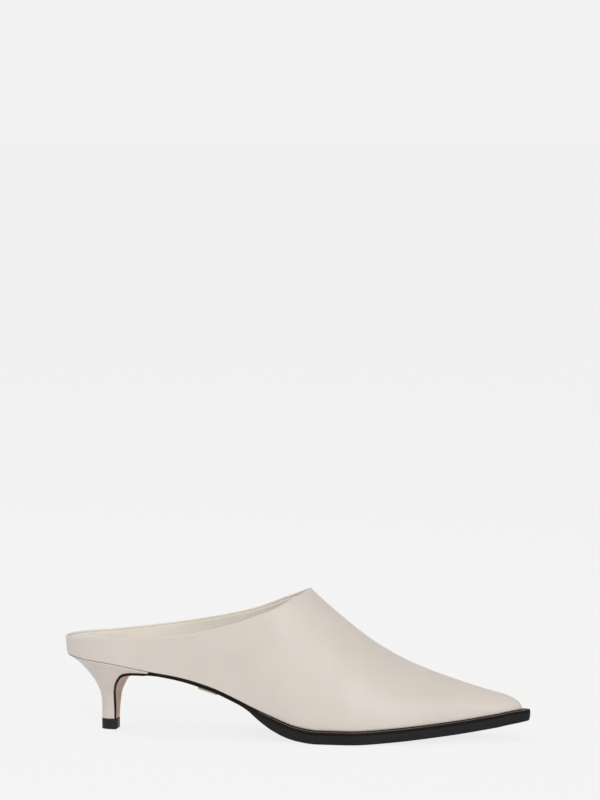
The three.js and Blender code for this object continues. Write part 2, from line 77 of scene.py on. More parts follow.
class Curve:
    """Monotone cubic through pairs of numbers, level beyond its ends."""

    def __init__(self, pairs: Sequence[tuple[float, float]]) -> None:
        """Keeps the pairs and the slope at each.

        Args:
            pairs: place and value, in rising order of place.
        """
        self.at, self.value = (np.array(column, dtype=float) for column in zip(*pairs))
        secant = np.diff(self.value) / np.diff(self.at)
        before, after = secant[:-1], secant[1:]
        same_way = before * after > 0
        total = np.where(same_way, before + after, 1.0)
        inner = np.where(same_way, 2 * before * after / total, 0.0)
        self.slope = np.concatenate(([secant[0]], inner, [secant[-1]]))

    def __call__(self, place: Any) -> np.ndarray:
        """Reads the curve.

        Args:
            place: number or array.

        Returns:
            Value at each place.
        """
        x = np.clip(np.asarray(place, dtype=float), self.at[0], self.at[-1])
        k = np.clip(np.searchsorted(self.at, x, side="right") - 1, 0, len(self.at) - 2)
        step = self.at[k + 1] - self.at[k]
        t = (x - self.at[k]) / step
        start = self.value[k] * (1 + 2 * t) * (1 - t) ** 2
        end = self.value[k + 1] * t**2 * (3 - 2 * t)
        bend = self.slope[k] * t * (1 - t) ** 2 - self.slope[k + 1] * t**2 * (1 - t)
        return start + end + step * bend


def curve_of(table: Table, column: int) -> Curve:
    """Curve through one column of a table, whose first column says where."""
    return Curve([(row[0], row[column]) for row in table])


def slope_of(curve: Callable[[Any], np.ndarray], x: Any) -> np.ndarray:
    """Slope of a curve at x."""
    return (curve(np.asarray(x) + NUDGE) - curve(np.asarray(x) - NUDGE)) / (2 * NUDGE)


def smoothstep(x: Any, low: float, high: float) -> np.ndarray:
    """Soft step.

    Args:
        x: number or array.
        low: where the step starts.
        high: where it ends.

    Returns:
        0 below low, 1 above high, and an even S between.
    """
    t = np.clip((np.asarray(x, dtype=float) - low) / (high - low), 0, 1)
    return t * t * (3 - 2 * t)


def unit(vectors: np.ndarray) -> np.ndarray:
    """Vectors along the last axis at length 1."""
    return vectors / np.maximum(np.linalg.norm(vectors, axis=-1, keepdims=True), 1e-12)


def spline(points: np.ndarray, pieces: int) -> np.ndarray:
    """Smooth curve through every point.

    Args:
        points: rows of numbers, read as one open path.
        pieces: steps between two points.

    Returns:
        Rows of the finer path, which holds the given points.
    """
    padded = np.vstack([2 * points[0] - points[1], points, 2 * points[-1] - points[-2]])
    t = (np.arange(pieces) / pieces)[None, :, None]
    a, b, c, d = (padded[k : len(padded) - 3 + k, None] for k in range(4))
    made = 0.5 * (2 * b + (c - a) * t + (2 * a - 5 * b + 4 * c - d) * t**2 + (3 * b - a - 3 * c + d) * t**3)
    return np.vstack([made.reshape(-1, points.shape[1]), points[-1:]])


@dataclass(frozen=True)
class Last:
    """The last the shoe is built on: outline, bed, sections and the edge of the opening."""

    length: float = 270.0
    ball_width: float = 74.0
    seat_width: float = 49.0
    seat_height: float = 45.0
    toe_spring: float = 10.4
    ball_bed: float = 7.4
    throat_reach: float = 142.4
    throat_height: float = 84.0
    rim_rise: float = 9.3
    toe_box: float = 11.1
    nose: float = 12.7
    toe_margin: float = 4.9
    heel_round: float = 25.0
    back_lean: float = 0.7

    # Half widths of the lower edge as shares of the seat's width (behind) or the ball's (in front)
    seat_outline: Table = (
        (0.093, 0.5, 0.5), (0.148, 0.506, 0.494), (0.204, 0.502, 0.465), (0.278, 0.505, 0.42),
    )
    ball_outline: Table = (
        (0.352, 0.36, 0.268), (0.426, 0.412, 0.305), (0.5, 0.473, 0.38), (0.563, 0.504, 0.447),
        (0.622, 0.507, 0.487), (0.678, 0.48, 0.493), (0.733, 0.426, 0.458), (0.785, 0.352, 0.396),
        (0.844, 0.252, 0.303), (0.896, 0.166, 0.208), (0.937, 0.108, 0.132),
    )
    # Bed: share of the rise to the seat, and of the toe spring, along the shoe
    seat_rise: Table = (
        (0.0, 1.0), (0.05, 0.947), (0.1, 0.904), (0.193, 0.785), (0.263, 0.705), (0.333, 0.571),
        (0.4, 0.378), (0.418, 0.321), (0.47, 0.174), (0.526, 0.04), (0.57, 0.0), (1.0, 0.0),
    )
    toe_rise: Table = (
        (0.0, 0.0), (0.64, 0.0), (0.715, 0.114), (0.785, 0.27), (0.856, 0.46), (0.928, 0.728),
        (0.965, 0.9), (1.0, 1.0),
    )
    # Ridge of the last, from the throat (0) to the nose (1); behind the throat it shapes the low walls
    ridge_rise: Table = (
        (-1.1, 2.0), (-0.5, 1.72), (-0.2, 1.33), (0.0, 1.0), (0.08, 0.862), (0.175, 0.709),
        (0.27, 0.565), (0.363, 0.443), (0.5, 0.303), (0.64, 0.197), (0.78, 0.112), (0.92, 0.036),
        (1.0, 0.0),
    )
    # Sections: along, lean and sway as shares of the ball's width, rise and crown as shares
    sections: Table = (
        (0.0, 0.05, 0.3, 0.55, 0.0), (0.093, 0.016, 0.3, 0.56, 0.0), (0.2, 0.02, 0.3, 0.58, 0.01),
        (0.4, 0.03, 0.34, 0.6, 0.025), (0.53, 0.026, 0.36, 0.6, 0.03), (0.65, 0.016, 0.42, 0.6, 0.032),
        (0.8, 0.01, 0.5, 0.58, 0.022), (0.937, 0.005, 0.5, 0.5, 0.008),
    )
    # Edge of the opening from the back (0) to the throat (1), as shares of the rise between them
    top_edge: Table = (
        (0.0, 0.0, 0.0), (0.06, 0.02, 0.003), (0.13, 0.05, 0.012), (0.26, 0.068, 0.085),
        (0.386, 0.088, 0.172), (0.5, 0.136, 0.262), (0.63, 0.258, 0.382), (0.74, 0.41, 0.509),
        (0.83, 0.57, 0.66), (0.88, 0.672, 0.76), (0.91, 0.745, 0.815), (0.945, 0.848, 0.883),
        (1.0, 1.0, 1.0),
    )

    @property
    def nose_tip(self) -> float:
        """Reach of the upper's nose."""
        return self.length - self.toe_margin

    @property
    def nose_start(self) -> float:
        """Reach at which the nose starts to round."""
        return self.nose_tip - self.nose

    def bed(self, x: Any) -> np.ndarray:
        """Height of the bed under the foot at x."""
        seat = Curve(self.seat_rise)(np.asarray(x) / self.length) * (self.seat_height - self.ball_bed)
        return self.ball_bed + seat + Curve(self.toe_rise)(np.asarray(x) / self.length) * self.toe_spring

    def stretch(self, x: Any) -> np.ndarray:
        """How much longer an upright thickness is where the bed slopes."""
        return np.hypot(1, slope_of(self.bed, x))

    def half_width(self, side: Side, x: Any) -> np.ndarray:
        """Half width of the lower edge, between the heel's round and the nose.

        Args:
            side: side of the shoe.
            x: reach from the back.

        Returns:
            Distance from the middle line at each x.
        """
        seat = [(row[0], row[side.column] * self.seat_width) for row in self.seat_outline]
        ball = [(row[0], row[side.column] * self.ball_width) for row in self.ball_outline]
        return Curve(seat + ball)(np.asarray(x) / self.length)

    def ridge(self, x: Any) -> np.ndarray:
        """Height of the last's ridge.

        Args:
            x: reach from the back.

        Returns:
            Height above the floor at each x.
        """
        base = self.bed(self.nose_start) + self.toe_box
        along = (np.asarray(x) - self.throat_reach) / (self.nose_start - self.throat_reach)
        return base + (self.throat_height - base) * Curve(self.ridge_rise)(along)

    def ridge_slope(self, x: Any) -> np.ndarray:
        """Slope of the ridge at x."""
        return slope_of(self.ridge, x)

    def shape(self, column: int, x: Any) -> np.ndarray:
        """A column of the table of sections, read at x."""
        return curve_of(self.sections, column)(np.asarray(x) / self.length)

    def sway(self, x: Any) -> np.ndarray:
        """How far the ridge lies to the medial side at x."""
        return self.shape(4, x) * self.ball_width

    def edge_height(self, side: Side, x: Any, drop: float) -> np.ndarray:
        """Height of the opening's edge.

        Args:
            side: side of the shoe.
            x: reach from the back.
            drop: how far inside the real edge this one lies.

        Returns:
            Height above the floor at each x.
        """
        throat = self.throat_reach + drop
        rim = self.bed(0.0) + self.rim_rise - drop
        share = curve_of(self.top_edge, side.column)(np.maximum(x, 0) / throat)
        return rim + (self.ridge(throat) - rim) * share

    def nose_outline(self, side: Side, share: Any, margin: float, tip: float) -> np.ndarray:
        """Outline of the nose seen from above.

        Args:
            side: side of the shoe.
            share: 0 where the nose starts, 1 at its tip.
            margin: how far the outline lies outside the upper.
            tip: reach of the tip.

        Returns:
            Points as rows of x and y.
        """
        s = np.asarray(share, dtype=float)
        half = self.half_width(side, self.nose_start) + margin
        taper = slope_of(lambda reach: self.half_width(side, reach), self.nose_start - 1)
        corner = half + taper * (tip - self.nose_start)
        x = self.nose_start + (tip - self.nose_start) * (2 * s - s**2)
        y = side.value * (half * (1 - s) ** 2 + 2 * corner * s * (1 - s))
        return np.stack([x, y], axis=-1)


class Place:
    """Moves millimetres of the maker's frame into the row frame."""

    def __init__(self, last: Last) -> None:
        """Reads the shift off two nodes whose place the sizes name.

        Args:
            last: the last, whose length is the reach of the outsole.
        """
        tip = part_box("outsole")[1][0] * MM_PER_METRE
        low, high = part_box("top_piece")
        self.shift = np.array([tip - last.length, (low[1] + high[1]) / 2 * MM_PER_METRE, 0.0])

    def to_row(self, points: np.ndarray) -> np.ndarray:
        """Points in metres in the row frame."""
        return (points + self.shift) / MM_PER_METRE


def linked(name: str, data: bpy.types.ID) -> bpy.types.Object:
    """Puts data into the scene.

    Args:
        name: name of the object.
        data: its mesh, light or camera.

    Returns:
        The object, at the origin.
    """
    made = bpy.data.objects.new(name, data)
    bpy.context.scene.collection.objects.link(made)
    return made


def cleaned(mesh: bpy.types.Mesh, outward: bool = True) -> bpy.types.Mesh:
    """Merges doubles, drops empty faces and shades smooth.

    Args:
        mesh: mesh to work on.
        outward: whether the faces are turned out as well, which needs a closed mesh.

    Returns:
        The same mesh.
    """
    work = bmesh.new()
    work.from_mesh(mesh)
    bmesh.ops.remove_doubles(work, verts=work.verts, dist=MERGE_METRES)
    bmesh.ops.dissolve_degenerate(work, edges=work.edges, dist=EMPTY_METRES)
    if outward:
        bmesh.ops.recalc_face_normals(work, faces=work.faces)
    work.to_mesh(mesh)
    work.free()
    mesh.polygons.foreach_set("use_smooth", [True] * len(mesh.polygons))
    mesh.update()
    return mesh


class Grid:
    """Collects points and faces of one piece, and makes a closed mesh of them."""

    def __init__(self) -> None:
        """Starts empty."""
        self.points: list[np.ndarray] = []
        self.faces: list[tuple[int, ...]] = []
        self.finish: list[int] = []
        self.count = 0

    def add(self, points: np.ndarray) -> np.ndarray:
        """Adds points.

        Args:
            points: array of any shape whose last axis is x, y, z.

        Returns:
            Their numbers, in the same shape.
        """
        flat = points.reshape(-1, 3)
        numbers = np.arange(self.count, self.count + len(flat)).reshape(points.shape[:-1])
        self.points.append(flat)
        self.count += len(flat)
        return numbers

    def skin(self, numbers: np.ndarray, closed: bool = False, finish: int = 0) -> None:
        """Covers a grid of points with quads.

        Args:
            numbers: numbers of the points, as rows and columns.
            closed: whether the last row joins the first.
            finish: place of the material in the piece's list.
        """
        after = np.roll(numbers, -1, axis=0) if closed else numbers[1:]
        before = numbers if closed else numbers[:-1]
        quads = np.stack([before[:, :-1], after[:, :-1], after[:, 1:], before[:, 1:]], axis=-1)
        for quad in quads.reshape(-1, 4):
            self.face(quad, finish)

    def face(self, numbers: Sequence[int], finish: int = 0) -> None:
        """Adds one face with those corners and that place in the list of materials."""
        self.faces.append(tuple(int(n) for n in numbers))
        self.finish.append(finish)

    def loft(self, loops: Sequence[np.ndarray]) -> None:
        """Covers a solid through loops of points, with its two ends in strips across.

        Args:
            loops: loops of equally many points.
        """
        numbers = self.add(np.array(loops))
        self.skin(np.hstack([numbers, numbers[:, :1]]))
        half = numbers.shape[1] // 2
        for row in (numbers[0], numbers[-1]):
            self.skin(np.column_stack([row[:half], row[::-1][:half]]))
            if numbers.shape[1] % 2:
                self.face(row[half - 1 : half + 2])

    def build(self, name: str, place: Place, materials: Sequence[bpy.types.Material]) -> bpy.types.Object:
        """Makes the object, with doubles merged, faces turned out and smooth shading.

        Args:
            name: name of the piece.
            place: shift to the row frame.
            materials: materials in the order of the faces' finish.

        Returns:
            The object, at the origin.
        """
        mesh = bpy.data.meshes.new(name)
        mesh.from_pydata(place.to_row(np.vstack(self.points)).tolist(), [], self.faces)
        mesh.polygons.foreach_set("material_index", self.finish)
        for material in materials:
            mesh.materials.append(material)
        return linked(name, cleaned(mesh))


def linear(colour: str) -> tuple[float, float, float, float]:
    """Linear colour of an sRGB hex value.

    Args:
        colour: such as "#ddd5cc".

    Returns:
        Red, green, blue and alpha.
    """
    channels = [int(colour[k : k + 2], 16) / 255 for k in (1, 3, 5)]
    red, green, blue = (c / 12.92 if c <= 0.04045 else ((c + 0.055) / 1.055) ** 2.4 for c in channels)
    return (red, green, blue, 1.0)


def add_node(tree: NodeTree, kind: str, inputs: dict[Any, Any], **settings: Any) -> bpy.types.Node:
    """Adds one node with its settings and links.

    Args:
        tree: tree that the node goes into.
        kind: Blender's name for the kind of node.
        inputs: value or socket for each named or numbered input.
        **settings: properties of the node.

    Returns:
        The node.
    """
    made = tree.nodes.new(kind)
    for name, value in settings.items():
        setattr(made, name, value)
    for name, value in inputs.items():
        if isinstance(value, NodeSocket):
            tree.links.new(value, made.inputs[name])
        else:
            made.inputs[name].default_value = value
    return made


def per_metre(size_mm: float) -> float:
    """Scale of a pattern whose cells have that size, on coordinates in metres."""
    return MM_PER_METRE / size_mm


def blank(name: str) -> tuple[bpy.types.Material, NodeTree, NodeSocket]:
    """Starts a material.

    Args:
        name: its name.

    Returns:
        The material, its empty tree and its Object coordinates.
    """
    made = bpy.data.materials.new(name)
    made.use_nodes = True
    tree = made.node_tree
    tree.nodes.clear()
    return made, tree, add_node(tree, "ShaderNodeTexCoord", {}).outputs["Object"]


def noise(tree: NodeTree, place: NodeSocket, size_mm: float, detail: float = 2.0,
          roughness: float = 0.5) -> NodeSocket:
    """Noise with lumps of a given size.

    Args:
        tree: tree that the node goes into.
        place: coordinates in metres.
        size_mm: size of a lump.
        detail: how many finer layers lie on it.
        roughness: how strong each layer is beside the one before.

    Returns:
        Value from 0 to 1, mostly near a half.
    """
    inputs = {"Vector": place, "Scale": per_metre(size_mm), "Detail": detail, "Roughness": roughness}
    return add_node(tree, "ShaderNodeTexNoise", inputs).outputs["Fac"]


def mapped(tree: NodeTree, value: NodeSocket, given: tuple[float, float],
           wanted: tuple[float, float]) -> NodeSocket:
    """Moves one range of values onto another, and holds what lies outside it.

    Args:
        tree: tree that the node goes into.
        value: the values.
        given: ends of the range they come in.
        wanted: what these ends become.

    Returns:
        The moved values.
    """
    names = ("Value", "From Min", "From Max", "To Min", "To Max")
    return add_node(tree, "ShaderNodeMapRange", dict(zip(names, (value, *given, *wanted)))).outputs[0]


def blended(tree: NodeTree, share: NodeSocket, first: str, second: str) -> NodeSocket:
    """Colour at a share of the way from one sRGB hex value to another."""
    inputs = {0: share, 6: linear(first), 7: linear(second)}
    return add_node(tree, "ShaderNodeMix", inputs, data_type="RGBA").outputs[2]


def bumped(tree: NodeTree, height: NodeSocket, depth_mm: float, **extra: Any) -> NodeSocket:
    """Normal of a surface with a relief.

    Args:
        tree: tree that the node goes into.
        height: the relief, from 0 to 1.
        depth_mm: how high 1 stands.
        **extra: a Normal to start from, or another Strength than 1.

    Returns:
        The bumped normal.
    """
    inputs = {"Strength": 1.0, "Distance": depth_mm / MM_PER_METRE, "Height": height, **extra}
    return add_node(tree, "ShaderNodeBump", inputs).outputs["Normal"]


def surfaced(tree: NodeTree, inputs: dict[str, Any]) -> None:
    """Ends a tree with a Principled surface that has those inputs."""
    shader = add_node(tree, "ShaderNodeBsdfPrincipled", inputs)
    add_node(tree, "ShaderNodeOutputMaterial", {"Surface": shader.outputs[0]})


@dataclass(frozen=True)
class Leather:
    """Tanned leather: soft clouds of tone, pores and low waves of the skin, under a worked surface."""

    name: str
    colour: str
    deeper: str
    roughness: float
    pore_mm: float
    pore_depth_mm: float
    wave_mm: float
    wave_depth_mm: float
    coat: float = 0.0
    coat_roughness: float = 0.42
    cloud_mm: float = 22.0
    fine_pores: float = 2.5
    fine_share: float = 0.3
    ior: float = 1.48

    def material(self) -> bpy.types.Material:
        """Builds the material.

        Returns:
            A material on Object coordinates.
        """
        made, tree, place = blank(self.name)
        cloud = noise(tree, place, self.cloud_mm, 3.0, 0.55)
        fine = noise(tree, place, self.pore_mm * self.fine_pores, 4.0, 0.6)
        both = add_node(tree, "ShaderNodeMix", {0: self.fine_share, 2: cloud, 3: fine}, data_type="FLOAT")
        tone = mapped(tree, both.outputs[0], (0.35, 0.65), (0.0, 1.0))
        colour = blended(tree, tone, self.deeper, self.colour)
        rough = mapped(tree, fine, (0.3, 0.7), (self.roughness - 0.05, self.roughness + 0.05))
        wave = noise(tree, place, self.wave_mm, 2.0, 0.45)
        cells = {"Vector": place, "Scale": per_metre(self.pore_mm), "Randomness": 1.0}
        pores = add_node(tree, "ShaderNodeTexVoronoi", cells, feature="SMOOTH_F1").outputs["Distance"]
        waved = bumped(tree, wave, self.wave_depth_mm)
        surfaced(tree, {
            "Base Color": colour,
            "Roughness": rough,
            "IOR": self.ior,
            "Coat Weight": self.coat,
            "Coat Roughness": self.coat_roughness,
            "Normal": bumped(tree, pores, self.pore_depth_mm, Normal=waved),
        })
        return made


@dataclass(frozen=True)
class Coated:
    """Dense dark material with an even skin, such as inked edges and moulded rubber."""

    name: str
    colour: str
    paler_tone: str
    roughness: float
    stipple_mm: float
    stipple_depth_mm: float
    gloss: float = 0.25
    patch_mm: float = 9.0
    ior: float = 1.5

    def material(self) -> bpy.types.Material:
        """Builds the material.

        Returns:
            A material on Object coordinates.
        """
        made, tree, place = blank(self.name)
        stipple = noise(tree, place, self.stipple_mm, 3.0, 0.6)
        patch = noise(tree, place, self.patch_mm, 3.0, 0.6)
        share = mapped(tree, patch, (0.4, 0.75), (0.0, 1.0))
        surfaced(tree, {
            "Base Color": blended(tree, share, self.colour, self.paler_tone),
            "Roughness": mapped(tree, patch, (0.3, 0.7), (self.roughness - 0.06, self.roughness + 0.06)),
            "IOR": self.ior,
            "Specular IOR Level": self.gloss,
            "Normal": bumped(tree, stipple, self.stipple_depth_mm),
        })
        return made


@dataclass(frozen=True)
class Plated:
    """Thin gilt plating over polished brass, with the faint lines of the polishing wheel."""

    name: str
    colour: str
    roughness: float
    line_mm: float
    line_depth_mm: float = 0.01
    drawn: float = 0.12

    def material(self) -> bpy.types.Material:
        """Builds the material.

        Returns:
            A material on Object coordinates.
        """
        made, tree, place = blank(self.name)
        drawn = add_node(tree, "ShaderNodeMapping", {"Vector": place, "Scale": (self.drawn, 1.0, 1.0)})
        lines = noise(tree, drawn.outputs[0], self.line_mm)
        surfaced(tree, {
            "Base Color": linear(self.colour),
            "Metallic": 1.0,
            "Roughness": mapped(tree, lines, (0.3, 0.7), (self.roughness - 0.05, self.roughness + 0.08)),
            "Normal": bumped(tree, lines, self.line_depth_mm),
        })
        return made


# Drum-dyed nappa calf: a closed fine grain with a waxed glaze, so light glides off it in soft bands.
# Real pores of 0.2 mm are drawn at 0.7 mm, because finer ones don't show at this size of picture.
CALF = Leather("nappa_calf", "#cac2b9", "#c5bdb4", 0.46, 0.7, 0.02, 14.0, 0.10, coat=0.12)
# The calf pared thin and turned over the edge: its paler, duller side shows inside the opening, and that
# paler tone along the rim also stands in for a painted highlight there.
PARED_CALF_AND_RIM_HIGHLIGHT = Leather("pared_calf_and_painted_rim_highlight", "#d8d2c7", "#d2ccc1", 0.55, 0.7, 0.02, 14.0, 0.06)
# The same skin stretched wet over the heel core: its waves are pulled out of it, and its colour is set a
# little darker than the upper's calf as painted shade.
HEEL_CALF_PAINTED_SHADE = Leather("nappa_calf_on_heel_painted_shade", "#c8bfb7", "#c3bab2", 0.44, 0.7, 0.015, 20.0, 0.04, coat=0.12)
# Unglazed kid: the lining is duller and a little warmer than the calf.
KID = Leather("kid_lining", "#e3ddd3", "#ddd7cc", 0.6, 0.8, 0.03, 12.0, 0.08)
# Kid over foam: the sock is matt and slightly greyer where it has been pressed.
SOCK = Leather("kid_sock", "#d7d3cb", "#d2cec5", 0.62, 0.8, 0.03, 10.0, 0.10)
# Oak-bark tanned bend: pinkish tan with a dry, sanded grain.
BEND = Leather("oak_tanned_bend", "#b59680", "#a0826d", 0.58, 0.9, 0.04, 16.0, 0.05)
# Edge ink, burnished with wax: a warm black with a low shine on its rounded corners.
INK = Coated("edge_ink", "#0f0b08", "#1a130d", 0.36, 0.9, 0.02, gloss=0.12)
# Paler brown ink on the welt's upper corner: a painted highlight, standing for the light caught along that
# rounded corner.
EDGE_HIGHLIGHT_INK = Coated("painted_highlight_edge_ink", "#54463f", "#68574b", 0.34, 0.9, 0.02, gloss=0.4)
# Moulded nitrile rubber, buffed: charcoal rather than black, with a satin skin.
RUBBER = Coated("nitrile_rubber", "#111013", "#18171a", 0.5, 0.8, 0.03, gloss=0.2)
# Solid polyurethane of the top piece: charcoal and duller than the sole.
TIP_RUBBER = Coated("polyurethane_tip", "#151417", "#1c1b1e", 0.56, 0.7, 0.03)
# Pale gilt plating: a soft straw-coloured mirror.
GILT = Plated("gilt_brass", "#b9ae93", 0.3, 0.25)


class Fold(NamedTuple):
    """Soft trough (negative depth) or swelling of the leather, seen from the side."""

    side: Side
    start: tuple[float, float]
    end: tuple[float, float]
    width: float
    depth: float


@dataclass
class Upper:
    """The upper: calf outside with a folded edge, and a kid lining that ends just under the fold."""

    last: Last
    place: Place
    # Depth of the calf's inner face and of the lining's two faces under the last's surface
    leather: float = 1.25
    lining_start: float = 1.32
    lining: float = 2.0
    # How far the calf's edge lies inside the last's, and the lining's inside the calf's
    edge_drop: float = 0.6
    lining_drop: float = 1.0
    # Rounding at the foot, and the slight roll along the opening with its place and width
    feather: float = 0.7
    fold_roll: float = 0.22
    roll_drop: float = 0.9
    roll_width: float = 1.1
    # Heights at which folds begin and are full, and the depth under the ridge over which they end
    foot_fade: tuple[float, float] = (0.5, 5.0)
    ridge_ease: float = 6.0
    # Rows of the mesh, the share of them that is evenly spaced, and the steps of the search for the edge
    rows: int = 44
    even_rows: float = 0.35
    halvings: int = 40
    # Steps over the rounded edge, and parts in which distances to it are taken, to spare memory
    cap_steps: int = 8
    chunks: int = 40
    # Sections round the shoe, on each side
    nose_steps: int = 26
    vamp_steps: int = 96
    collar_steps: int = 84
    heel_steps: int = 30
    # Where the skin gathers over the waist of the last and behind the ball, as on the photograph
    folds: tuple[Fold, ...] = (
        Fold(Side.LATERAL, (60, 47), (92, 52), 7.0, -0.35),
        Fold(Side.LATERAL, (84, 44), (108, 38), 6.0, -0.25),
        Fold(Side.LATERAL, (98, 58), (128, 60), 11.0, 0.3),
        Fold(Side.LATERAL, (120, 34), (140, 26), 9.0, 0.2),
        Fold(Side.LATERAL, (136, 66), (150, 50), 8.0, -0.25),
        Fold(Side.LATERAL, (196, 24), (240, 22), 5.0, 0.35),
        Fold(Side.LATERAL, (30, 49), (52, 50), 6.0, 0.15),
        Fold(Side.MEDIAL, (66, 46), (96, 50), 8.0, -0.3),
        Fold(Side.MEDIAL, (100, 40), (124, 34), 7.0, 0.2),
        Fold(Side.MEDIAL, (140, 60), (156, 44), 8.0, -0.25),
    )
    calf: Leather = CALF
    # Paler turned edge: partly the leather's flesh side, partly a painted highlight along the rim
    turned: Leather = PARED_CALF_AND_RIM_HIGHLIGHT
    kid: Leather = KID

    def stations(self, side: Side, drop: float) -> tuple[np.ndarray, np.ndarray, np.ndarray]:
        """Where the sections of one side stand, from the nose's tip back to the middle of the heel.

        Args:
            side: side of the shoe.
            drop: how far inside the real edge the opening's edge lies.

        Returns:
            Feet and tops of the sections as rows of x and y, and which of them lie in the nose.
        """
        last = self.last
        throat = last.throat_reach + drop
        share = 1 - np.arange(self.nose_steps) / self.nose_steps
        nose = last.nose_outline(side, share, 0.0, last.nose_tip)
        vamp = np.linspace(last.nose_start, throat, self.vamp_steps, endpoint=False)
        back = (np.arange(self.collar_steps) / self.collar_steps) ** 2
        x = np.concatenate([vamp, throat + (last.heel_round - throat) * back])
        side_feet = np.stack([x, side.value * last.half_width(side, x)], axis=-1)
        turn = (np.pi / 2) * (1 - np.arange(self.heel_steps + 1) / self.heel_steps)
        half = last.half_width(side, last.heel_round)
        heel_x = last.heel_round - (last.heel_round - last.back_lean) * np.cos(turn)
        heel = np.stack([heel_x, side.value * half * np.sin(turn)], axis=-1)
        pole = np.tile([last.nose_start, float(last.sway(last.nose_start))], (len(nose), 1))
        side_tops = np.stack([x, last.sway(x)], axis=-1)
        heart = np.tile([last.heel_round, 0.0], (len(heel), 1))
        in_nose = np.arange(len(nose) + len(x) + len(heel)) < len(nose)
        return np.vstack([nose, side_feet, heel]), np.vstack([pole, side_tops, heart]), in_nose

    def poles(self, feet: np.ndarray, tops: np.ndarray,
              in_nose: np.ndarray) -> tuple[np.ndarray, np.ndarray]:
        """Control points of the sections' curves.

        Args:
            feet: lower ends, as rows of x and y.
            tops: upper ends, as rows of x and y.
            in_nose: which sections lie in the nose.

        Returns:
            Four points a section, and the direction outwards in plan.
        """
        last = self.last
        at = np.minimum(feet[:, 0], last.nose_start)
        reach = np.linalg.norm(feet - tops, axis=1)
        out = unit(feet - tops)
        low = np.column_stack([feet, last.bed(feet[:, 0])])
        high = np.column_stack([tops, last.ridge(tops[:, 0])])
        crown = last.shape(3, at) * reach
        lean = last.shape(1, at) * last.ball_width
        fall = np.where(in_nose, last.ridge_slope(last.nose_start - 1) * out[:, 0], 0.0)
        side = low + np.column_stack([out * lean[:, None], last.shape(2, at) * (high[:, 2] - low[:, 2])])
        turn = high + np.column_stack([out * crown[:, None], fall * crown])
        return np.stack([low, side, turn, high], axis=1), out

    def curve(self, poles: np.ndarray, share: np.ndarray) -> np.ndarray:
        """Points on the sections' curves.

        Args:
            poles: four control points a section.
            share: shares along each section, as sections and rows.

        Returns:
            Points as sections, rows and x, y, z.
        """
        t = share[..., None]
        a, b, c, d = (poles[:, None, k] for k in range(4))
        return (1 - t) ** 3 * a + 3 * (1 - t) ** 2 * t * b + 3 * (1 - t) * t**2 * c + t**3 * d

    def surface(self, drop: float) -> dict[str, np.ndarray]:
        """The last's surface up to an edge of the opening, as a ring of sections.

        Args:
            drop: how far inside the real edge this one lies.

        Returns:
            Points and outward normals as sections and rows, the direction outwards in plan, the
            side's sign, and the numbers of the two sections at the throat.
        """
        last = self.last
        shares, poles, outs, signs = [], [], [], []
        warp = np.linspace(0, 1, self.rows + 1)
        warp = self.even_rows * warp + (1 - self.even_rows) * (1 - np.cos(np.pi * warp)) / 2
        for side in (Side.LATERAL, Side.MEDIAL):
            feet, tops, in_nose = self.stations(side, drop)
            made, out = self.poles(feet, tops, in_nose)
            end = self.cut(side, made, tops[:, 0] < last.throat_reach + drop - 1e-9, drop)
            keep = slice(None) if side is Side.LATERAL else slice(-2, 0, -1)
            shares.append((end[:, None] * warp)[keep])
            poles.append(made[keep])
            outs.append(out[keep])
            signs.append(np.full(len(end), side.value)[keep])
        share = np.vstack(shares)
        pole = np.vstack(poles)
        out = np.vstack(outs)
        points = self.curve(pole, share)
        rise = np.diff(pole, axis=1) * 3
        t = share[..., None]
        a, b, c = (rise[:, None, k] for k in range(3))
        up = (1 - t) ** 2 * a + 2 * (1 - t) * t * b + t**2 * c
        along = self.curve(np.roll(pole, -1, axis=0) - np.roll(pole, 1, axis=0), share)
        normal = unit(np.cross(along, up))
        flat = share[:, -1] >= 1
        slope = last.ridge_slope(np.minimum(pole[:, 3, 0], last.nose_start - 1))
        over = unit(np.column_stack([-slope, np.zeros(len(slope)), np.ones(len(slope))]))
        normal[flat, -1] = over[flat]
        outward = np.column_stack([out, np.ones(len(out))])[:, None]
        normal *= np.where((normal * outward).sum(-1, keepdims=True) < 0, -1, 1)
        throat = self.nose_steps + self.vamp_steps
        ends = np.array([throat, len(points) - throat])
        sign = np.concatenate(signs)
        return {"points": points, "normal": normal, "out": out, "sign": sign, "throat": ends}

    def cut(self, side: Side, poles: np.ndarray, open_top: np.ndarray, drop: float) -> np.ndarray:
        """Share of each section that lies under the opening's edge.

        Args:
            side: side of the shoe.
            poles: control points of the sections.
            open_top: which sections end at the opening.
            drop: how far inside the real edge this one lies.

        Returns:
            Shares, 1 where the section runs up to the ridge.
        """
        low = np.zeros(len(poles))
        high = np.ones(len(poles))
        for _ in range(self.halvings):
            middle = (low + high) / 2
            point = self.curve(poles, middle[:, None])[:, 0]
            under = point[:, 2] < self.last.edge_height(side, point[:, 0], drop)
            low = np.where(under, middle, low)
            high = np.where(under, high, middle)
        return np.where(open_top, low, 1.0)

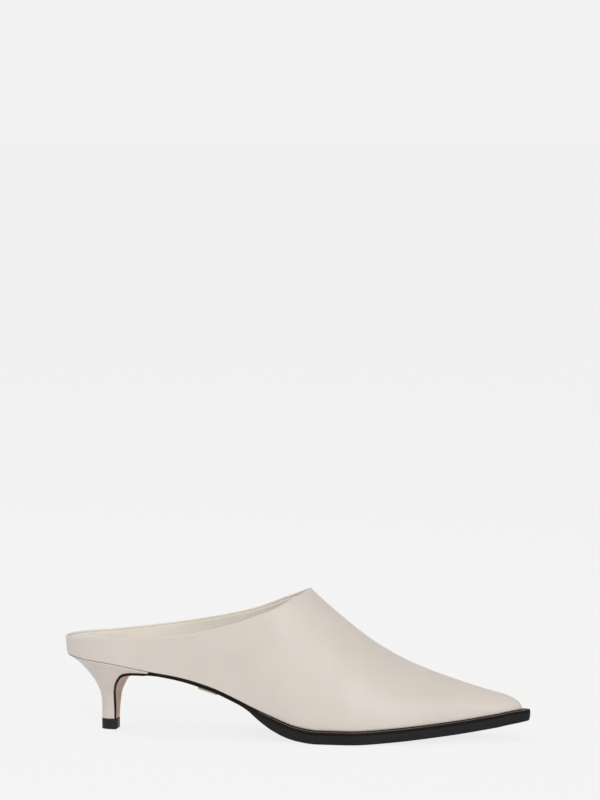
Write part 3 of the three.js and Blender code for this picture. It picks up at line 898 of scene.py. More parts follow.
    def relief(self, skin: dict[str, np.ndarray], loop: np.ndarray) -> np.ndarray:
        """How far the leather stands off the last's surface.

        Args:
            skin: surface from the surface method.
            loop: numbers of the sections round the opening.

        Returns:
            Distance along the normal, as sections and rows.
        """
        points = skin["points"]
        edge = points[loop, -1]
        flat = points.reshape(-1, 3)
        away = np.concatenate([
            np.linalg.norm(part[:, None] - edge[None], axis=-1).min(axis=1)
            for part in np.array_split(flat, self.chunks)
        ]).reshape(points.shape[:2])
        made = self.fold_roll * np.exp(-(((away - self.roll_drop) / self.roll_width) ** 2))
        under_ridge = smoothstep(self.last.ridge(points[..., 0]) - points[..., 2], 0, self.ridge_ease)
        for fold in self.folds:
            start, end = np.array(fold.start, dtype=float), np.array(fold.end, dtype=float)
            seen = points[..., (0, 2)] - start
            run = end - start
            share = np.clip((seen @ run) / (run @ run), 0, 1)
            off = np.linalg.norm(seen - share[..., None] * run, axis=-1)
            same = (skin["sign"] == fold.side.value)[:, None]
            made += np.where(same, fold.depth * np.exp(-((off / fold.width) ** 2)), 0.0) * under_ridge
        height = points[..., 2] - self.last.bed(points[..., 0])
        depth = np.clip(self.feather - height, 0, self.feather)
        rounding = self.feather - np.sqrt(self.feather**2 - depth**2)
        return made * smoothstep(height, *self.foot_fade) - rounding

    def shell(self, name: str, drop: float, layer: tuple[float, float], finishes: Sequence[Leather],
              relief: bool) -> bpy.types.Object:
        """One layer of the upper as a closed shell.

        Args:
            name: name of the piece.
            drop: how far inside the real edge the layer's own edge lies.
            layer: depth of its outer and inner face under the last's surface.
            finishes: its leather outside, and last the one from the middle of its upper edge inwards; on
                the calf that last one is paler, partly its flesh side and partly a painted highlight along
                the rim.
            relief: whether it has the folds and the rounded lower edge.

        Returns:
            The piece.
        """
        skin = self.surface(drop)
        first, second = skin["throat"]
        loop = np.arange(first, second + 1)
        lift = self.relief(skin, loop) if relief else np.zeros(skin["points"].shape[:2])
        outer = skin["points"] + skin["normal"] * (lift - layer[0])[..., None]
        inner = skin["points"] - skin["normal"] * layer[1]
        inner[:, 0, 2] = np.maximum(inner[:, 0, 2], self.last.bed(inner[:, 0, 0]))
        grid = Grid()
        outside = grid.add(outer)
        inside = grid.add(inner)
        grid.skin(outside, closed=True)
        # The last finish covers the inner face and the cap's inner half; on the calf it is the paler turned
        # edge, partly a painted rim highlight.
        turned = len(finishes) - 1
        grid.skin(inside[:, ::-1], closed=True, finish=turned)
        grid.skin(np.stack([inside[:, 0], outside[:, 0]], axis=1), closed=True)
        cap = self.cap(grid, outside, inside, outer[loop, -1], inner[loop, -1], loop)
        half = cap.shape[1] // 2
        grid.skin(cap[:, : half + 1])
        grid.skin(cap[:, half:], finish=turned)
        return grid.build(name, self.place, [finish.material() for finish in finishes])

    def cap(self, grid: Grid, outside: np.ndarray, inside: np.ndarray, outer: np.ndarray,
            inner: np.ndarray, loop: np.ndarray) -> np.ndarray:
        """Rounds the edge of the opening from the outer to the inner face.

        Args:
            grid: the shell's points.
            outside: numbers of the outer face's points.
            inside: numbers of the inner face's points.
            outer: outer points along the opening.
            inner: inner points along the opening.
            loop: numbers of the sections round the opening.

        Returns:
            Numbers of the cap's points, from the outer to the inner face.
        """
        middle = (outer + inner) / 2
        half = (outer - inner) / 2
        ring = middle[:-1]
        along = np.roll(ring, -1, axis=0) - np.roll(ring, 1, axis=0)
        along = unit(np.vstack([along, along[:1]]))
        proud = np.cross(unit(half), along)
        proud *= np.sign(proud[len(proud) // 2, 2])
        size = np.linalg.norm(half, axis=1, keepdims=True)
        turns = np.linspace(0, np.pi, self.cap_steps + 1)[1:-1]
        rows = [middle + half * np.cos(turn) + proud * size * np.sin(turn) for turn in turns]
        made = grid.add(np.stack(rows, axis=1))
        return np.hstack([outside[loop, -1:], made, inside[loop, -1:]])

    def build(self) -> list[bpy.types.Object]:
        """Makes the calf shell and the kid lining, which stand for the upper.

        Returns:
            Both pieces.
        """
        coats = (self.calf, self.turned)
        calf = self.shell("upper_leather", self.edge_drop, (0.0, self.leather), coats, True)
        start = self.edge_drop + self.lining_drop
        kid = self.shell("upper_lining", start, (self.lining_start, self.lining), (self.kid,), False)
        for piece in (calf, kid):
            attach(piece, "root")
            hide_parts("upper")
        return [calf, kid]


@dataclass
class Footbed:
    """The padded sock that the foot stands on, from wall to wall."""

    last: Last
    place: Place
    upper: Upper
    # Thickness under heel and forefoot, and the reaches between which it changes
    heel_thickness: float = 9.0
    forefoot_thickness: float = 3.5
    thin_from: float = 52.0
    thin_to: float = 153.9
    # How far before the tip it ends, and how far it stays off the walls
    front: float = 15.0
    clear: float = 0.08
    # Rounded upper edge, and heights and inset of the lower corner
    edge: float = 1.5
    low_corner: tuple[float, float] = (0.35, 0.8)
    low_inset: float = 0.4
    # Crown, and the widths of the pad at which it begins and is full
    crown: float = 0.7
    crown_widths: tuple[float, float] = (4.0, 24.0)
    corner_steps: int = 6
    across: int = 24
    sock: Leather = SOCK

    def build(self) -> list[bpy.types.Object]:
        """Makes the sock as one crowned pad with rounded edges.

        Returns:
            The piece.
        """
        skin = self.upper.surface(0.0)
        walls = skin["points"] - skin["normal"] * (self.upper.lining + self.clear)
        half = len(walls) // 2
        pairs = [k for k in range(half, 0, -1) if skin["points"][k, 0, 0] <= self.last.length - self.front]
        turns = np.linspace(0, np.pi / 2, self.corner_steps)
        loops = []
        for k in pairs:
            twin = (len(walls) - k) % len(walls)
            x = skin["points"][k, -1, 0]
            share = smoothstep(x, self.thin_from, self.thin_to)
            thick = self.heel_thickness + (self.forefoot_thickness - self.heel_thickness) * share
            edge = min(self.edge, thick / 3)
            heights = [*self.low_corner, *(thick - edge + edge * np.sin(turns))]
            insets = [self.low_inset, 0.0, *(edge * (1 - np.cos(turns)))]
            left = self.wall(walls[k], skin["out"][k], heights, insets)
            right = self.wall(walls[twin], skin["out"][twin], heights, insets)
            width = np.linalg.norm(left[-1] - right[-1])
            u = np.linspace(0, 1, self.across + 1)[1:-1, None]
            top = left[-1] * (1 - u) + right[-1] * u
            swell = self.crown * smoothstep(width, *self.crown_widths)
            top[:, 2] += swell * (1 - (2 * u[:, 0] - 1) ** 4)
            low = right[0] * (1 - u) + left[0] * u
            loops.append(np.vstack([left, top, right[::-1], low]))
        grid = Grid()
        numbers = grid.add(np.array(loops))
        grid.skin(np.hstack([numbers, numbers[:, :1]]))
        end = numbers[-1]
        side = len(heights)
        over = end[side - 1 : side + self.across]
        under = np.append(end[0], end[: 2 * side + self.across - 3 : -1])
        grid.skin(np.stack([over, under]))
        for corner in (end[:side], end[side + self.across - 1 : 2 * side + self.across - 1]):
            grid.face(corner)
        made = grid.build("insole_sock", self.place, [self.sock.material()])
        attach(made, "root")
        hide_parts("insole")
        return [made]

    def wall(self, points: np.ndarray, out: np.ndarray, heights: Sequence[float],
             insets: Sequence[float]) -> np.ndarray:
        """Points up the wall's inner face.

        Args:
            points: the wall's inner face at one section, from its foot up.
            out: direction outwards in plan.
            heights: heights above the bed.
            insets: how far inwards each lies.

        Returns:
            One point for each height.
        """
        above = points[:, 2] - self.last.bed(points[:, 0])
        plan = np.column_stack([np.interp(heights, above, points[:, k]) for k in (0, 1)])
        plan = plan - np.outer(insets, out)
        return np.column_stack([plan, self.last.bed(plan[:, 0]) + heights])


@dataclass
class Heel:
    """The covered kitten heel and its levels, and the top piece that it stands on."""

    last: Last
    place: Place
    # Top piece, and how far it stands proud of the heel
    tip_height: float = 6.1
    tip_back: float = 21.0
    tip_length: float = 7.8
    tip_width: float = 9.6
    tip_overhang: float = 0.15
    # Reach of the lip under the waist, and how far inside the upper's edge the seat lies
    lip_reach: float = 52.0
    inset: float = 0.6
    # Gap between the solids, how much of it is closed here and left at the tip, and the flap's thickness
    gap: float = 0.3
    close: float = 0.22
    tip_clear: float = 0.08
    flap: float = 1.1
    # Rounded edge at the seat, and the ledge under it with the level where it begins
    edge: float = 0.6
    ledge: float = 0.9
    ledge_from: float = 0.86
    # Longest round of the back, as a share of the last's round and of the level's own length
    round_of_last: float = 0.96
    round_of_level: float = 0.72
    # Levels of the mesh, how they crowd towards the seat, the least step under the rounded edge
    levels: int = 72
    levels_crowd: float = 1.25
    least_level: float = 0.05
    # Steps round a corner, along a side and round the back
    corner_steps: int = 6
    side_steps: int = 18
    back_steps: int = 53
    # Heel calf, a little darker than the upper's calf as painted shade
    cover: Leather = HEEL_CALF_PAINTED_SHADE
    tip: Coated = TIP_RUBBER

    # Heel from its tip (0) to the seat (1): shares of the way to the back, the lip and the full width
    profile: Table = (
        (0.0, 0.0, 0.0, 0.0), (0.15, 0.0, 0.0, 0.02), (0.3, 0.005, 0.005, 0.09),
        (0.44, 0.05, 0.02, 0.21), (0.54, 0.12, 0.06, 0.38), (0.64, 0.215, 0.115, 0.55),
        (0.74, 0.36, 0.2, 0.69), (0.84, 0.55, 0.325, 0.83), (0.91, 0.71, 0.545, 0.92),
        (0.955, 0.83, 0.82, 0.965), (0.98, 0.9, 1.0, 0.99), (1.0, 0.955, 1.0, 1.0),
    )

    def share(self, column: int, up: Any) -> np.ndarray:
        """A column of the profile, read at a level."""
        return curve_of(self.profile, column)(up)

    def height(self, up: Any, x: Any) -> np.ndarray:
        """Height of a level at x."""
        tip = self.tip_height + self.gap
        return tip + up * (self.last.bed(x) - self.gap - tip)

    def front(self, up: Any) -> np.ndarray:
        """Reach of the heel's front at a level."""
        start = self.tip_back + self.tip_length
        return start + (self.lip_reach - start) * self.share(2, up)

    def half(self, side: Side, up: Any, x: Any) -> np.ndarray:
        """Half width of the heel at a level and a reach."""
        seat = self.last.half_width(side, np.maximum(x, self.last.heel_round)) - self.inset
        return self.tip_width / 2 + (seat - self.tip_width / 2) * self.share(3, up)

    def outline(self, up: float, inset: float = 0.0) -> np.ndarray:
        """Outline of a level: one straight side, the round back and the other side.

        Args:
            up: level, from 0 at the tip to 1 at the seat.
            inset: how far inside the real outline it lies.

        Returns:
            Points as rows of x and y.
        """
        front = float(self.front(up)) + self.close - inset
        to_back = self.last.back_lean + self.inset
        back = self.tip_back + (to_back - self.tip_back) * float(self.share(1, up)) + inset
        round_end = min(self.last.heel_round * self.round_of_last, (front - back) * self.round_of_level)
        x = np.linspace(front, back + round_end, self.side_steps, endpoint=False)
        lateral = np.column_stack([x, inset - self.half(Side.LATERAL, up, x)])
        medial = np.column_stack([x, self.half(Side.MEDIAL, up, x) - inset])
        turn = np.linspace(-np.pi / 2, np.pi / 2, self.back_steps)
        left = float(self.half(Side.LATERAL, up, back + round_end)) - inset
        right = float(self.half(Side.MEDIAL, up, back + round_end)) - inset
        across = np.where(turn < 0, left, right) * np.sin(turn)
        rear = np.column_stack([back + round_end * (1 - np.cos(turn)), across])
        return np.vstack([lateral, rear, medial[::-1]])

    def lofted(self, name: str, loops: Sequence[np.ndarray],
               material: bpy.types.Material) -> bpy.types.Object:
        """A closed solid of one material through loops of points.

        Args:
            name: name of the piece.
            loops: loops of equally many points.
            material: its material.

        Returns:
            The piece.
        """
        grid = Grid()
        grid.loft(loops)
        return grid.build(name, self.place, [material])

    def build(self) -> list[bpy.types.Object]:
        """Makes the covered heel and the top piece.

        Returns:
            Both pieces.
        """
        loops = []
        for up in 1 - (1 - np.linspace(0, 1, self.levels)[:-1]) ** self.levels_crowd:
            plan = self.outline(float(up), -self.ledge * float(smoothstep(up, self.ledge_from, 1.0)))
            low = self.gap - self.tip_clear if up == 0 else 0.0
            loops.append(np.column_stack([plan, self.height(up, plan[:, 0]) - low]))
        for turn in np.linspace(0, np.pi / 2, self.corner_steps):
            plan = self.outline(1.0, self.edge * (1 - np.cos(turn)) - self.ledge)
            top = self.last.bed(plan[:, 0]) - self.gap + self.close
            loops.append(np.column_stack([plan, top - self.edge * (1 - np.sin(turn))]))
        cover = self.lofted("heel_cover", self.clean(loops), self.cover.material())
        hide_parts("heel")
        tip = self.lofted("heel_top_piece", self.tip_loops(), self.tip.material())
        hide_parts("top_piece")
        for piece in (cover, tip):
            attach(piece, "root")
        return [cover, tip]

    def clean(self, loops: list[np.ndarray]) -> list[np.ndarray]:
        """Leaves out levels that the rounded upper edge has passed."""
        levels, corner = loops[: -self.corner_steps], loops[-self.corner_steps :]
        return [loop for loop in levels if np.all(loop[:, 2] < corner[0][:, 2] - self.least_level)] + corner

    def tip_loops(self) -> list[np.ndarray]:
        """Loops of the top piece, with a rounded foot and a crisp upper edge.

        Returns:
            Loops from the floor up.
        """
        back = self.tip_back - self.tip_overhang
        long = self.tip_back + self.tip_length + self.gap + self.flap - back
        wide = self.tip_width / 2 + self.tip_overhang
        plan = self.outline(0.0)
        along = (plan[:, 0] - self.tip_back) / (self.tip_length + self.close)
        across = plan[:, 1] / (self.tip_width / 2)
        high = self.tip_height
        rows = [(0.0, 0.35), (0.05, 0.17), (0.17, 0.05), (0.35, 0.0), (3.0, 0.0)]
        rows += [(high - 0.2, 0.0), (high - 0.05, 0.06), (high, 0.2)]
        loops = []
        for z, inset in rows:
            reach = back + inset + along * (long - 2 * inset)
            loops.append(np.column_stack([reach, across * (wide - inset), np.full(len(plan), z)]))
        return loops


class Strip(NamedTuple):
    """A layer of the sole seen from the side, with its half widths."""

    top: np.ndarray
    low: np.ndarray
    lateral: np.ndarray
    medial: np.ndarray


@dataclass
class Sole:
    """Outsole with its flap down the heel, forefoot rubber with ribs, and their dressed edges."""

    last: Last
    place: Place
    heel: Heel
    # Thickness of the layers, the gap between the solids and how much of it is closed here
    outsole: float = 1.8
    forefoot: float = 5.0
    gap: float = 0.3
    close: float = 0.22
    # How far the edge stands outside the upper, and the reaches between which it grows to that
    side_margin: float = 1.8
    margin_reach: float = 95.0
    full_reach: float = 153.9
    # Skived end of the forefoot sole, how softly it starts, its least depth and its clearance
    skive_reach: float = 108.0
    skive_ease: float = 5.0
    clear: float = 0.08
    forefoot_clear: float = 0.02
    # Bend of the outsole before the heel's lip, and how much thinner it is there
    lip_ease: float = 6.0
    lip_thinning: float = 0.4
    lip_end: float = 90.0
    # Flap: first levels, half step for its slope, where it thins below the seat, swell, clearance
    flap_top: tuple[float, float] = (0.98, 0.968)
    flap_nudge: float = 0.004
    flap_thins: tuple[float, float] = (0.02, 0.2)
    flap_swell: float = 0.3
    swell_to: float = 0.25
    flap_clear: float = 0.1
    # Rounded corners, how far the very tip leans back, and the reach from which the upper corner carries
    # the paler ink of a painted highlight
    edge: float = 0.5
    seam_edge: float = 0.1
    tip_lean: float = 0.7
    highlight_from: float = 119.0
    # Steps of the mesh, and how many behind the nose its leaned tip may read its level from
    across: int = 14
    edge_steps: int = 5
    flap_pieces: int = 5
    nose_steps: int = 28
    nose_more: int = 10
    waist_steps: int = 70
    forefoot_steps: int = 190
    # Ribs: spacing, reach, distance from the edge, least length, size, and how the sole makes room
    rib_step: float = 3.2
    rib_field: tuple[float, float] = (129.0, 244.0)
    rib_margin: float = 6.5
    rib_least: float = 4.0
    rib_half_width: float = 0.9
    rib_height: float = 0.5
    rib_sides: int = 14
    rib_sink: float = 0.9
    rib_ease: float = 5.0
    leather: Leather = BEND
    ink: Coated = INK
    paler_tone: Coated = EDGE_HIGHLIGHT_INK
    # Paler ink for the line on the welt's upper corner: a painted highlight
    rubber: Coated = RUBBER

    # Forefoot sole from its skived edge (0) to the tip (1): share of its thickness under the ball
    thickness: Table = (
        (0.0, 0.03), (0.025, 0.07), (0.056, 0.45), (0.087, 0.77), (0.12, 1.0), (0.16, 1.08),
        (0.2, 1.06), (0.24, 1.02), (0.28, 1.0), (0.42, 1.0), (0.86, 1.0), (0.94, 0.97),
        (1.0, 0.85),
    )

    def margin(self, x: Any) -> np.ndarray:
        """How far the sole's edge stands outside the upper at x."""
        return self.side_margin * smoothstep(x, self.margin_reach, self.full_reach)

    def under(self, x: Any) -> np.ndarray:
        """Height of the outsole's underside at x."""
        return self.last.bed(x) - self.gap - self.outsole * self.last.stretch(x)

    def floor(self, x: Any) -> np.ndarray:
        """Height of the forefoot sole's underside.

        Args:
            x: reach from the back.

        Returns:
            Height above the floor at each x.
        """
        along = (np.asarray(x) - self.skive_reach) / (self.last.length - self.skive_reach)
        layer = self.gap * self.last.stretch(x) + self.forefoot * Curve(self.thickness)(along)
        grown = smoothstep(x, self.skive_reach, self.skive_reach + self.skive_ease)
        return self.under(x) - self.clear - (layer - self.clear) * grown

    def nose_x(self) -> np.ndarray:
        """Stations along the nose.

        Returns:
            Reaches, from the tip back to where the nose starts.
        """
        share = 1 - np.arange(self.nose_steps) / self.nose_steps
        start = self.last.nose_start
        return start + (self.last.length - start) * (2 * share - share**2)

    def halves(self, x: np.ndarray, inset: float,
               lean: float = 0.0) -> tuple[np.ndarray, np.ndarray, np.ndarray]:
        """Half widths of the sole along it.

        Args:
            x: stations, of which those in the nose follow its round outline.
            inset: how far inside the sole's outline to stay.
            lean: how much further back the very tip stays.

        Returns:
            Reach, and half width on the lateral and on the medial side.
        """
        last = self.last
        tip = last.length - inset - lean
        nose = x > last.nose_start
        share = 1 - np.sqrt(np.clip(1 - (x - last.nose_start) / (last.length - last.nose_start), 0, 1))
        made = []
        for side in Side:
            plain = last.half_width(side, x) + self.margin(x) - inset
            points = last.nose_outline(side, np.where(nose, share, 0), self.side_margin - inset, tip)
            made.append(np.where(nose, np.abs(points[..., 1]), plain))
        reach = np.where(nose, points[..., 0], x)
        return reach, np.maximum(made[0], 0), np.maximum(made[1], 0)

    def plate(self, strip: Strip, rows: Sequence[tuple[float, float, int]], grid: Grid,
              hollow: np.ndarray, lean: tuple[float, float]) -> None:
        """Skins a layer with rounded edges.

        Args:
            strip: the layer, from its front to its back end.
            rows: depth under the top as a share, inset and finish, from the top's rim to the underside's.
            grid: receives the points and faces.
            hollow: how far the underside's field is raised at each station.
            lean: how far the very tip stays back at the layer's top and at its underside.
        """
        nose = self.nose_steps
        lines = {side: [] for side in Side}
        for depth, inset, _ in rows:
            centre = strip.top + (strip.low - strip.top) * depth
            back_off = lean[0] * (1 - depth) ** 2 + lean[1] * depth**2
            reach, *round_nose = self.halves(strip.top[:nose, 0], inset, back_off)
            front = centre[nose + self.nose_more :: -1]
            level = np.interp(reach, front[:, 0], front[:, 1])
            centre = np.vstack([np.column_stack([reach, level]), centre[nose:]])
            for side, plain, rounded in zip(Side, (strip.lateral, strip.medial), round_nose):
                wide = np.maximum(np.concatenate([rounded, plain[nose:] - inset]), 0)
                lines[side].append(np.column_stack([centre[:, 0], side.value * wide, centre[:, 1]]))
        left, right = (grid.add(np.stack(lines[side], axis=1)) for side in Side)
        for k in range(len(rows) - 1):
            grid.skin(left[:, k : k + 2], finish=rows[k][2])
            grid.skin(right[:, k : k + 2], finish=rows[k][2])
        u = np.linspace(0, 1, self.across + 1)[1:-1, None]
        ends = []
        for k, raised in ((0, np.zeros(len(hollow))), (len(rows) - 1, hollow)):
            field = lines[Side.LATERAL][k][:, None] * (1 - u) + lines[Side.MEDIAL][k][:, None] * u
            field[..., 2] += raised[:, None]
            numbers = np.hstack([left[:, k : k + 1], grid.add(field), right[:, k : k + 1]])
            grid.skin(numbers, finish=rows[k][2])
            ends.append(numbers[-1])
        loop = [*ends[0], *right[-1, 1:-1], *ends[1][::-1], *left[-1, 1:-1][::-1]]
        grid.face(loop, rows[len(rows) // 2][2])

    def outsole_strip(self) -> Strip:
        """The outsole from the tip to the foot of its flap.

        Returns:
            The layer, with its top almost against the upper and the heel.
        """
        last, heel = self.last, self.heel
        flap_start = heel.lip_reach + self.lip_ease
        x = np.concatenate([self.nose_x(), np.linspace(last.nose_start, flap_start, self.waist_steps)])
        _, lateral, medial = self.halves(x, 0.0)
        thin = self.lip_thinning * (1 - smoothstep(x, flap_start, self.lip_end))
        top = last.bed(x) - self.gap + self.close
        rows = np.column_stack([x, top, x, self.under(x) + thin, lateral, medial])
        start = self.outsole - self.lip_thinning
        flap = []
        for up in (*self.flap_top, *(row[0] for row in heel.profile[-3::-1])):
            beside = (up, max(up - self.flap_nudge, 0), min(up + self.flap_nudge, self.flap_top[0]))
            at, below, above = (np.array([heel.front(u), heel.height(u, heel.front(u))]) for u in beside)
            normal = unit(np.array([above[1] - below[1], below[0] - above[0]]))
            flap_thick = heel.flap + self.flap_swell * smoothstep(up, 0.0, self.swell_to)
            thick = start + (flap_thick - start) * smoothstep(1 - up, *self.flap_thins)
            near = at + normal * (self.gap - self.close / 2 + self.flap_clear)
            far = at + normal * (self.gap + thick)
            widths = [float(heel.half(side, up, heel.front(up))) for side in Side]
            flap.append([*near, *far, *widths])
        smooth = spline(np.vstack([rows[self.nose_steps :], np.array(flap)]), self.flap_pieces)
        made = np.vstack([rows[: self.nose_steps], smooth])
        return Strip(made[:, 0:2], made[:, 2:4], made[:, 4], made[:, 5])

    def forefoot_strip(self) -> Strip:
        """The forefoot rubber from the tip to its skived edge.

        Returns:
            The layer.
        """
        flat = np.linspace(self.last.nose_start, self.skive_reach, self.forefoot_steps)
        x = np.concatenate([self.nose_x(), flat])
        _, lateral, medial = self.halves(x, 0.0)
        top = self.under(x) - self.forefoot_clear
        return Strip(np.column_stack([x, top]), np.column_stack([x, self.floor(x)]), lateral, medial)

    def edge_rows(self, thick: float, upper: float, lower: float,
                  finishes: tuple[int, int, int]) -> list[tuple[float, float, int]]:
        """Rows down a rounded edge.

        Args:
            thick: thickness of the layer.
            upper: radius of its upper corner.
            lower: radius of its lower corner.
            finishes: places of the materials of the edge, of the line on its upper corner and of the
                underside.

        Returns:
            Depth as a share, inset and finish of each row.
        """
        edge, line, underside = finishes
        turns = np.linspace(0, np.pi / 2, self.edge_steps)
        high = [(upper * (1 - np.sin(t)) / thick, upper * (1 - np.cos(t))) for t in turns[::-1]]
        low = [(1 - lower * (1 - np.sin(t)) / thick, lower * (1 - np.cos(t))) for t in turns]
        kinds = [edge, line, line, *[edge] * (2 * self.edge_steps - 3), underside]
        return [(depth, inset, kind) for (depth, inset), kind in zip([*high, (0.5, 0.0), *low], kinds)]

    def ribs(self, material: bpy.types.Material) -> bpy.types.Object:
        """Low half-round ribs across the forefoot, set along the sole by Geometry Nodes.

        Args:
            material: their rubber.

        Returns:
            The piece, as a plain mesh.
        """
        x = np.arange(*self.rib_field, self.rib_step)
        _, lateral, medial = self.halves(x, self.rib_margin)
        x, lateral, medial = (part[lateral + medial > self.rib_least] for part in (x, lateral, medial))
        points = np.column_stack([x, (medial - lateral) / 2, self.floor(x) + self.rib_height])
        mesh = bpy.data.meshes.new("forefoot_ribs")
        mesh.from_pydata(self.place.to_row(points).tolist(), [], [])
        slope = self.floor(x + 0.5) - self.floor(x - 0.5)
        for name, values in (("across", (lateral + medial) / MM_PER_METRE), ("tilt", -np.arctan(slope))):
            mesh.attributes.new(name, "FLOAT", "POINT").data.foreach_set("value", values.astype(np.float32))
        made = linked("forefoot_ribs", mesh)
        tree = bpy.data.node_groups.new("ribs_across_sole", "GeometryNodeTree")
        width, height = self.rib_nodes(tree, material)
        modifier = made.modifiers.new("ribs", "NODES")
        modifier.node_group = tree
        modifier[width] = self.rib_half_width / MM_PER_METRE
        modifier[height] = self.rib_height / MM_PER_METRE
        plain = bpy.data.meshes.new_from_object(made.evaluated_get(bpy.context.evaluated_depsgraph_get()))
        made.modifiers.remove(modifier)
        made.data = plain
        plain.name = "forefoot_ribs"
        return made

    def rib_nodes(self, tree: NodeTree, material: bpy.types.Material) -> tuple[str, str]:
        """Nodes that lay a half-round bar across the sole at every point.

        Args:
            tree: empty group that they go into.
            material: rubber of the ribs.

        Returns:
            Identifiers of the inputs for a rib's half width and height.
        """
        tree.interface.new_socket("Geometry", in_out="INPUT", socket_type="NodeSocketGeometry")
        width, height = (
            tree.interface.new_socket(name, in_out="INPUT", socket_type="NodeSocketFloat").identifier
            for name in ("Rib half width", "Rib height")
        )
        tree.interface.new_socket("Geometry", in_out="OUTPUT", socket_type="NodeSocketGeometry")
        given = add_node(tree, "NodeGroupInput", {}).outputs
        round_bar = {"Vertices": self.rib_sides, "Radius": 1.0, "Depth": 1.0}
        bar = add_node(tree, "GeometryNodeMeshCylinder", round_bar)
        sizes = {"X": given["Rib half width"], "Y": given["Rib height"], "Z": 1.0}
        size = add_node(tree, "ShaderNodeCombineXYZ", sizes)
        scaled = {"Geometry": bar.outputs["Mesh"], "Scale": size.outputs[0]}
        laid = add_node(tree, "GeometryNodeTransform", scaled)
        quarter = {"Geometry": laid.outputs[0], "Rotation": (np.pi / 2, 0.0, 0.0)}
        turned = add_node(tree, "GeometryNodeTransform", quarter)
        across, tilt = (
            add_node(tree, "GeometryNodeInputNamedAttribute", {"Name": name}, data_type="FLOAT").outputs[0]
            for name in ("across", "tilt")
        )
        long = add_node(tree, "ShaderNodeCombineXYZ", {"X": 1.0, "Y": across, "Z": 1.0})
        lean = add_node(tree, "ShaderNodeCombineXYZ", {"Y": tilt})
        turn = add_node(tree, "FunctionNodeEulerToRotation", {0: lean.outputs[0]})
        put = {
            "Points": given["Geometry"],
            "Instance": turned.outputs[0],
            "Rotation": turn.outputs[0],
            "Scale": long.outputs[0],
        }
        placed = add_node(tree, "GeometryNodeInstanceOnPoints", put)
        real = add_node(tree, "GeometryNodeRealizeInstances", {"Geometry": placed.outputs[0]})
        dressed = {"Geometry": real.outputs[0], "Material": material}
        done = add_node(tree, "GeometryNodeSetMaterial", dressed)
        add_node(tree, "NodeGroupOutput", {"Geometry": done.outputs[0]})
        return width, height

    def build(self) -> list[bpy.types.Object]:
        """Makes the outsole, the forefoot rubber and its ribs.

        Returns:
            The three pieces.
        """
        tan, ink, black = self.leather.material(), self.ink.material(), self.rubber.material()
        grid = Grid()
        rows = self.edge_rows(self.outsole, self.edge, self.seam_edge, (1, 2, 0))
        strip = self.outsole_strip()
        self.plate(strip, rows, grid, np.zeros(len(strip.top)), (self.tip_lean / 2, 0.0))
        points = np.vstack(grid.points)
        # Behind highlight_from the upper corner goes back to plain ink, so the painted highlight line only
        # starts there.
        grid.finish = [
            1 if finish == 2 and points[list(face), 0].mean() < self.highlight_from else finish
            for face, finish in zip(grid.faces, grid.finish)
        ]
        outsole = grid.build("outsole_leather", self.place, [tan, ink, self.paler_tone.material()])
        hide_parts("outsole")
        grid = Grid()
        rows = self.edge_rows(self.forefoot, self.seam_edge, self.edge, (0, 0, 0))
        strip = self.forefoot_strip()
        x = strip.top[:, 0]
        start, end = self.rib_field
        field = smoothstep(x, start - self.rib_ease, start) * (1 - smoothstep(x, end, end + self.rib_ease))
        self.plate(strip, rows, grid, self.rib_height * self.rib_sink * field, (0.0, self.tip_lean))
        forefoot = grid.build("forefoot_rubber", self.place, [black])
        ribs = self.ribs(black)
        for piece in (forefoot, ribs):
            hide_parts("forefoot_sole")
        for piece in (outsole, forefoot, ribs):
            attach(piece, "root")
        return [outsole, forefoot, ribs]


@dataclass
class WaistBar:
    """Plain gilt bar under the waist, in the place of the shoe's small metal trim."""

    last: Last
    place: Place
    sole: Sole
    reach: float = 81.5
    length: float = 11.0
    width: float = 14.0
    thickness: float = 1.9
    from_edge: float = 4.0
    bevel: float = 0.5
    corner: float = 0.8
    clear: float = 0.08
    bevel_steps: int = 5
    corner_steps: int = 6
    side_steps: int = 8
    metal: Plated = GILT

    def build(self) -> list[bpy.types.Object]:
        """Makes the bar as a pillow-edged plate that follows the waist.

        Returns:
            The piece.
        """
        start = -float(self.last.half_width(Side.LATERAL, self.reach)) + self.from_edge
        turns = np.linspace(0, np.pi / 2, self.bevel_steps)
        full, bevel = self.thickness, self.bevel
        rows = [(0.0, 0.0), *((full - bevel * (1 - np.sin(t)), bevel * (1 - np.cos(t))) for t in turns)]
        loops = []
        for depth, inset in rows:
            x, y = self.rounded(start + inset, start + self.width - inset, inset)
            top = self.sole.under(x) - self.clear
            loops.append(np.column_stack([x, y, top - depth * self.last.stretch(x)]))
        grid = Grid()
        grid.loft(loops)
        made = grid.build("waist_bar_gilt", self.place, [self.metal.material()])
        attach(made, "root")
        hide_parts("waist_bar")
        return [made]

    def rounded(self, low: float, high: float, inset: float) -> tuple[np.ndarray, np.ndarray]:
        """Plan of the bar with small round corners, from its lateral back corner round to its medial one.

        Args:
            low: lateral edge.
            high: medial edge.
            inset: how far inside the bar's full length the ends lie.

        Returns:
            Reach and Y of each point.
        """
        radius = self.corner
        back, front = self.reach + inset, self.reach + self.length - inset
        turn = np.linspace(0, np.pi / 2, self.corner_steps)
        along = np.linspace(back + radius, front - radius, self.side_steps + 1)[1:-1]
        side_x = np.concatenate([
            back + radius * (1 - np.cos(turn)), along, front - radius * (1 - np.sin(turn)),
        ])
        side_y = np.concatenate([
            low + radius * (1 - np.sin(turn)), np.full(len(along), low), low + radius * (1 - np.cos(turn)),
        ])
        return np.concatenate([side_x, side_x[::-1]]), np.concatenate([side_y, low + high - side_y[::-1]])


class Lamp(NamedTuple):
    """Square soft light: its place in degrees, its power in watts and its linear colour."""

    name: str
    azimuth: float
    elevation: float
    watts: float
    colour: tuple[float, float, float]


def towards(azimuth: float, elevation: float) -> Vector:
    """Direction from the shoe to a place round it, in degrees as for the camera."""
    az, el = np.radians(azimuth), np.radians(elevation)
    return Vector((np.sin(az) * np.cos(el), -np.cos(az) * np.cos(el), np.sin(el)))


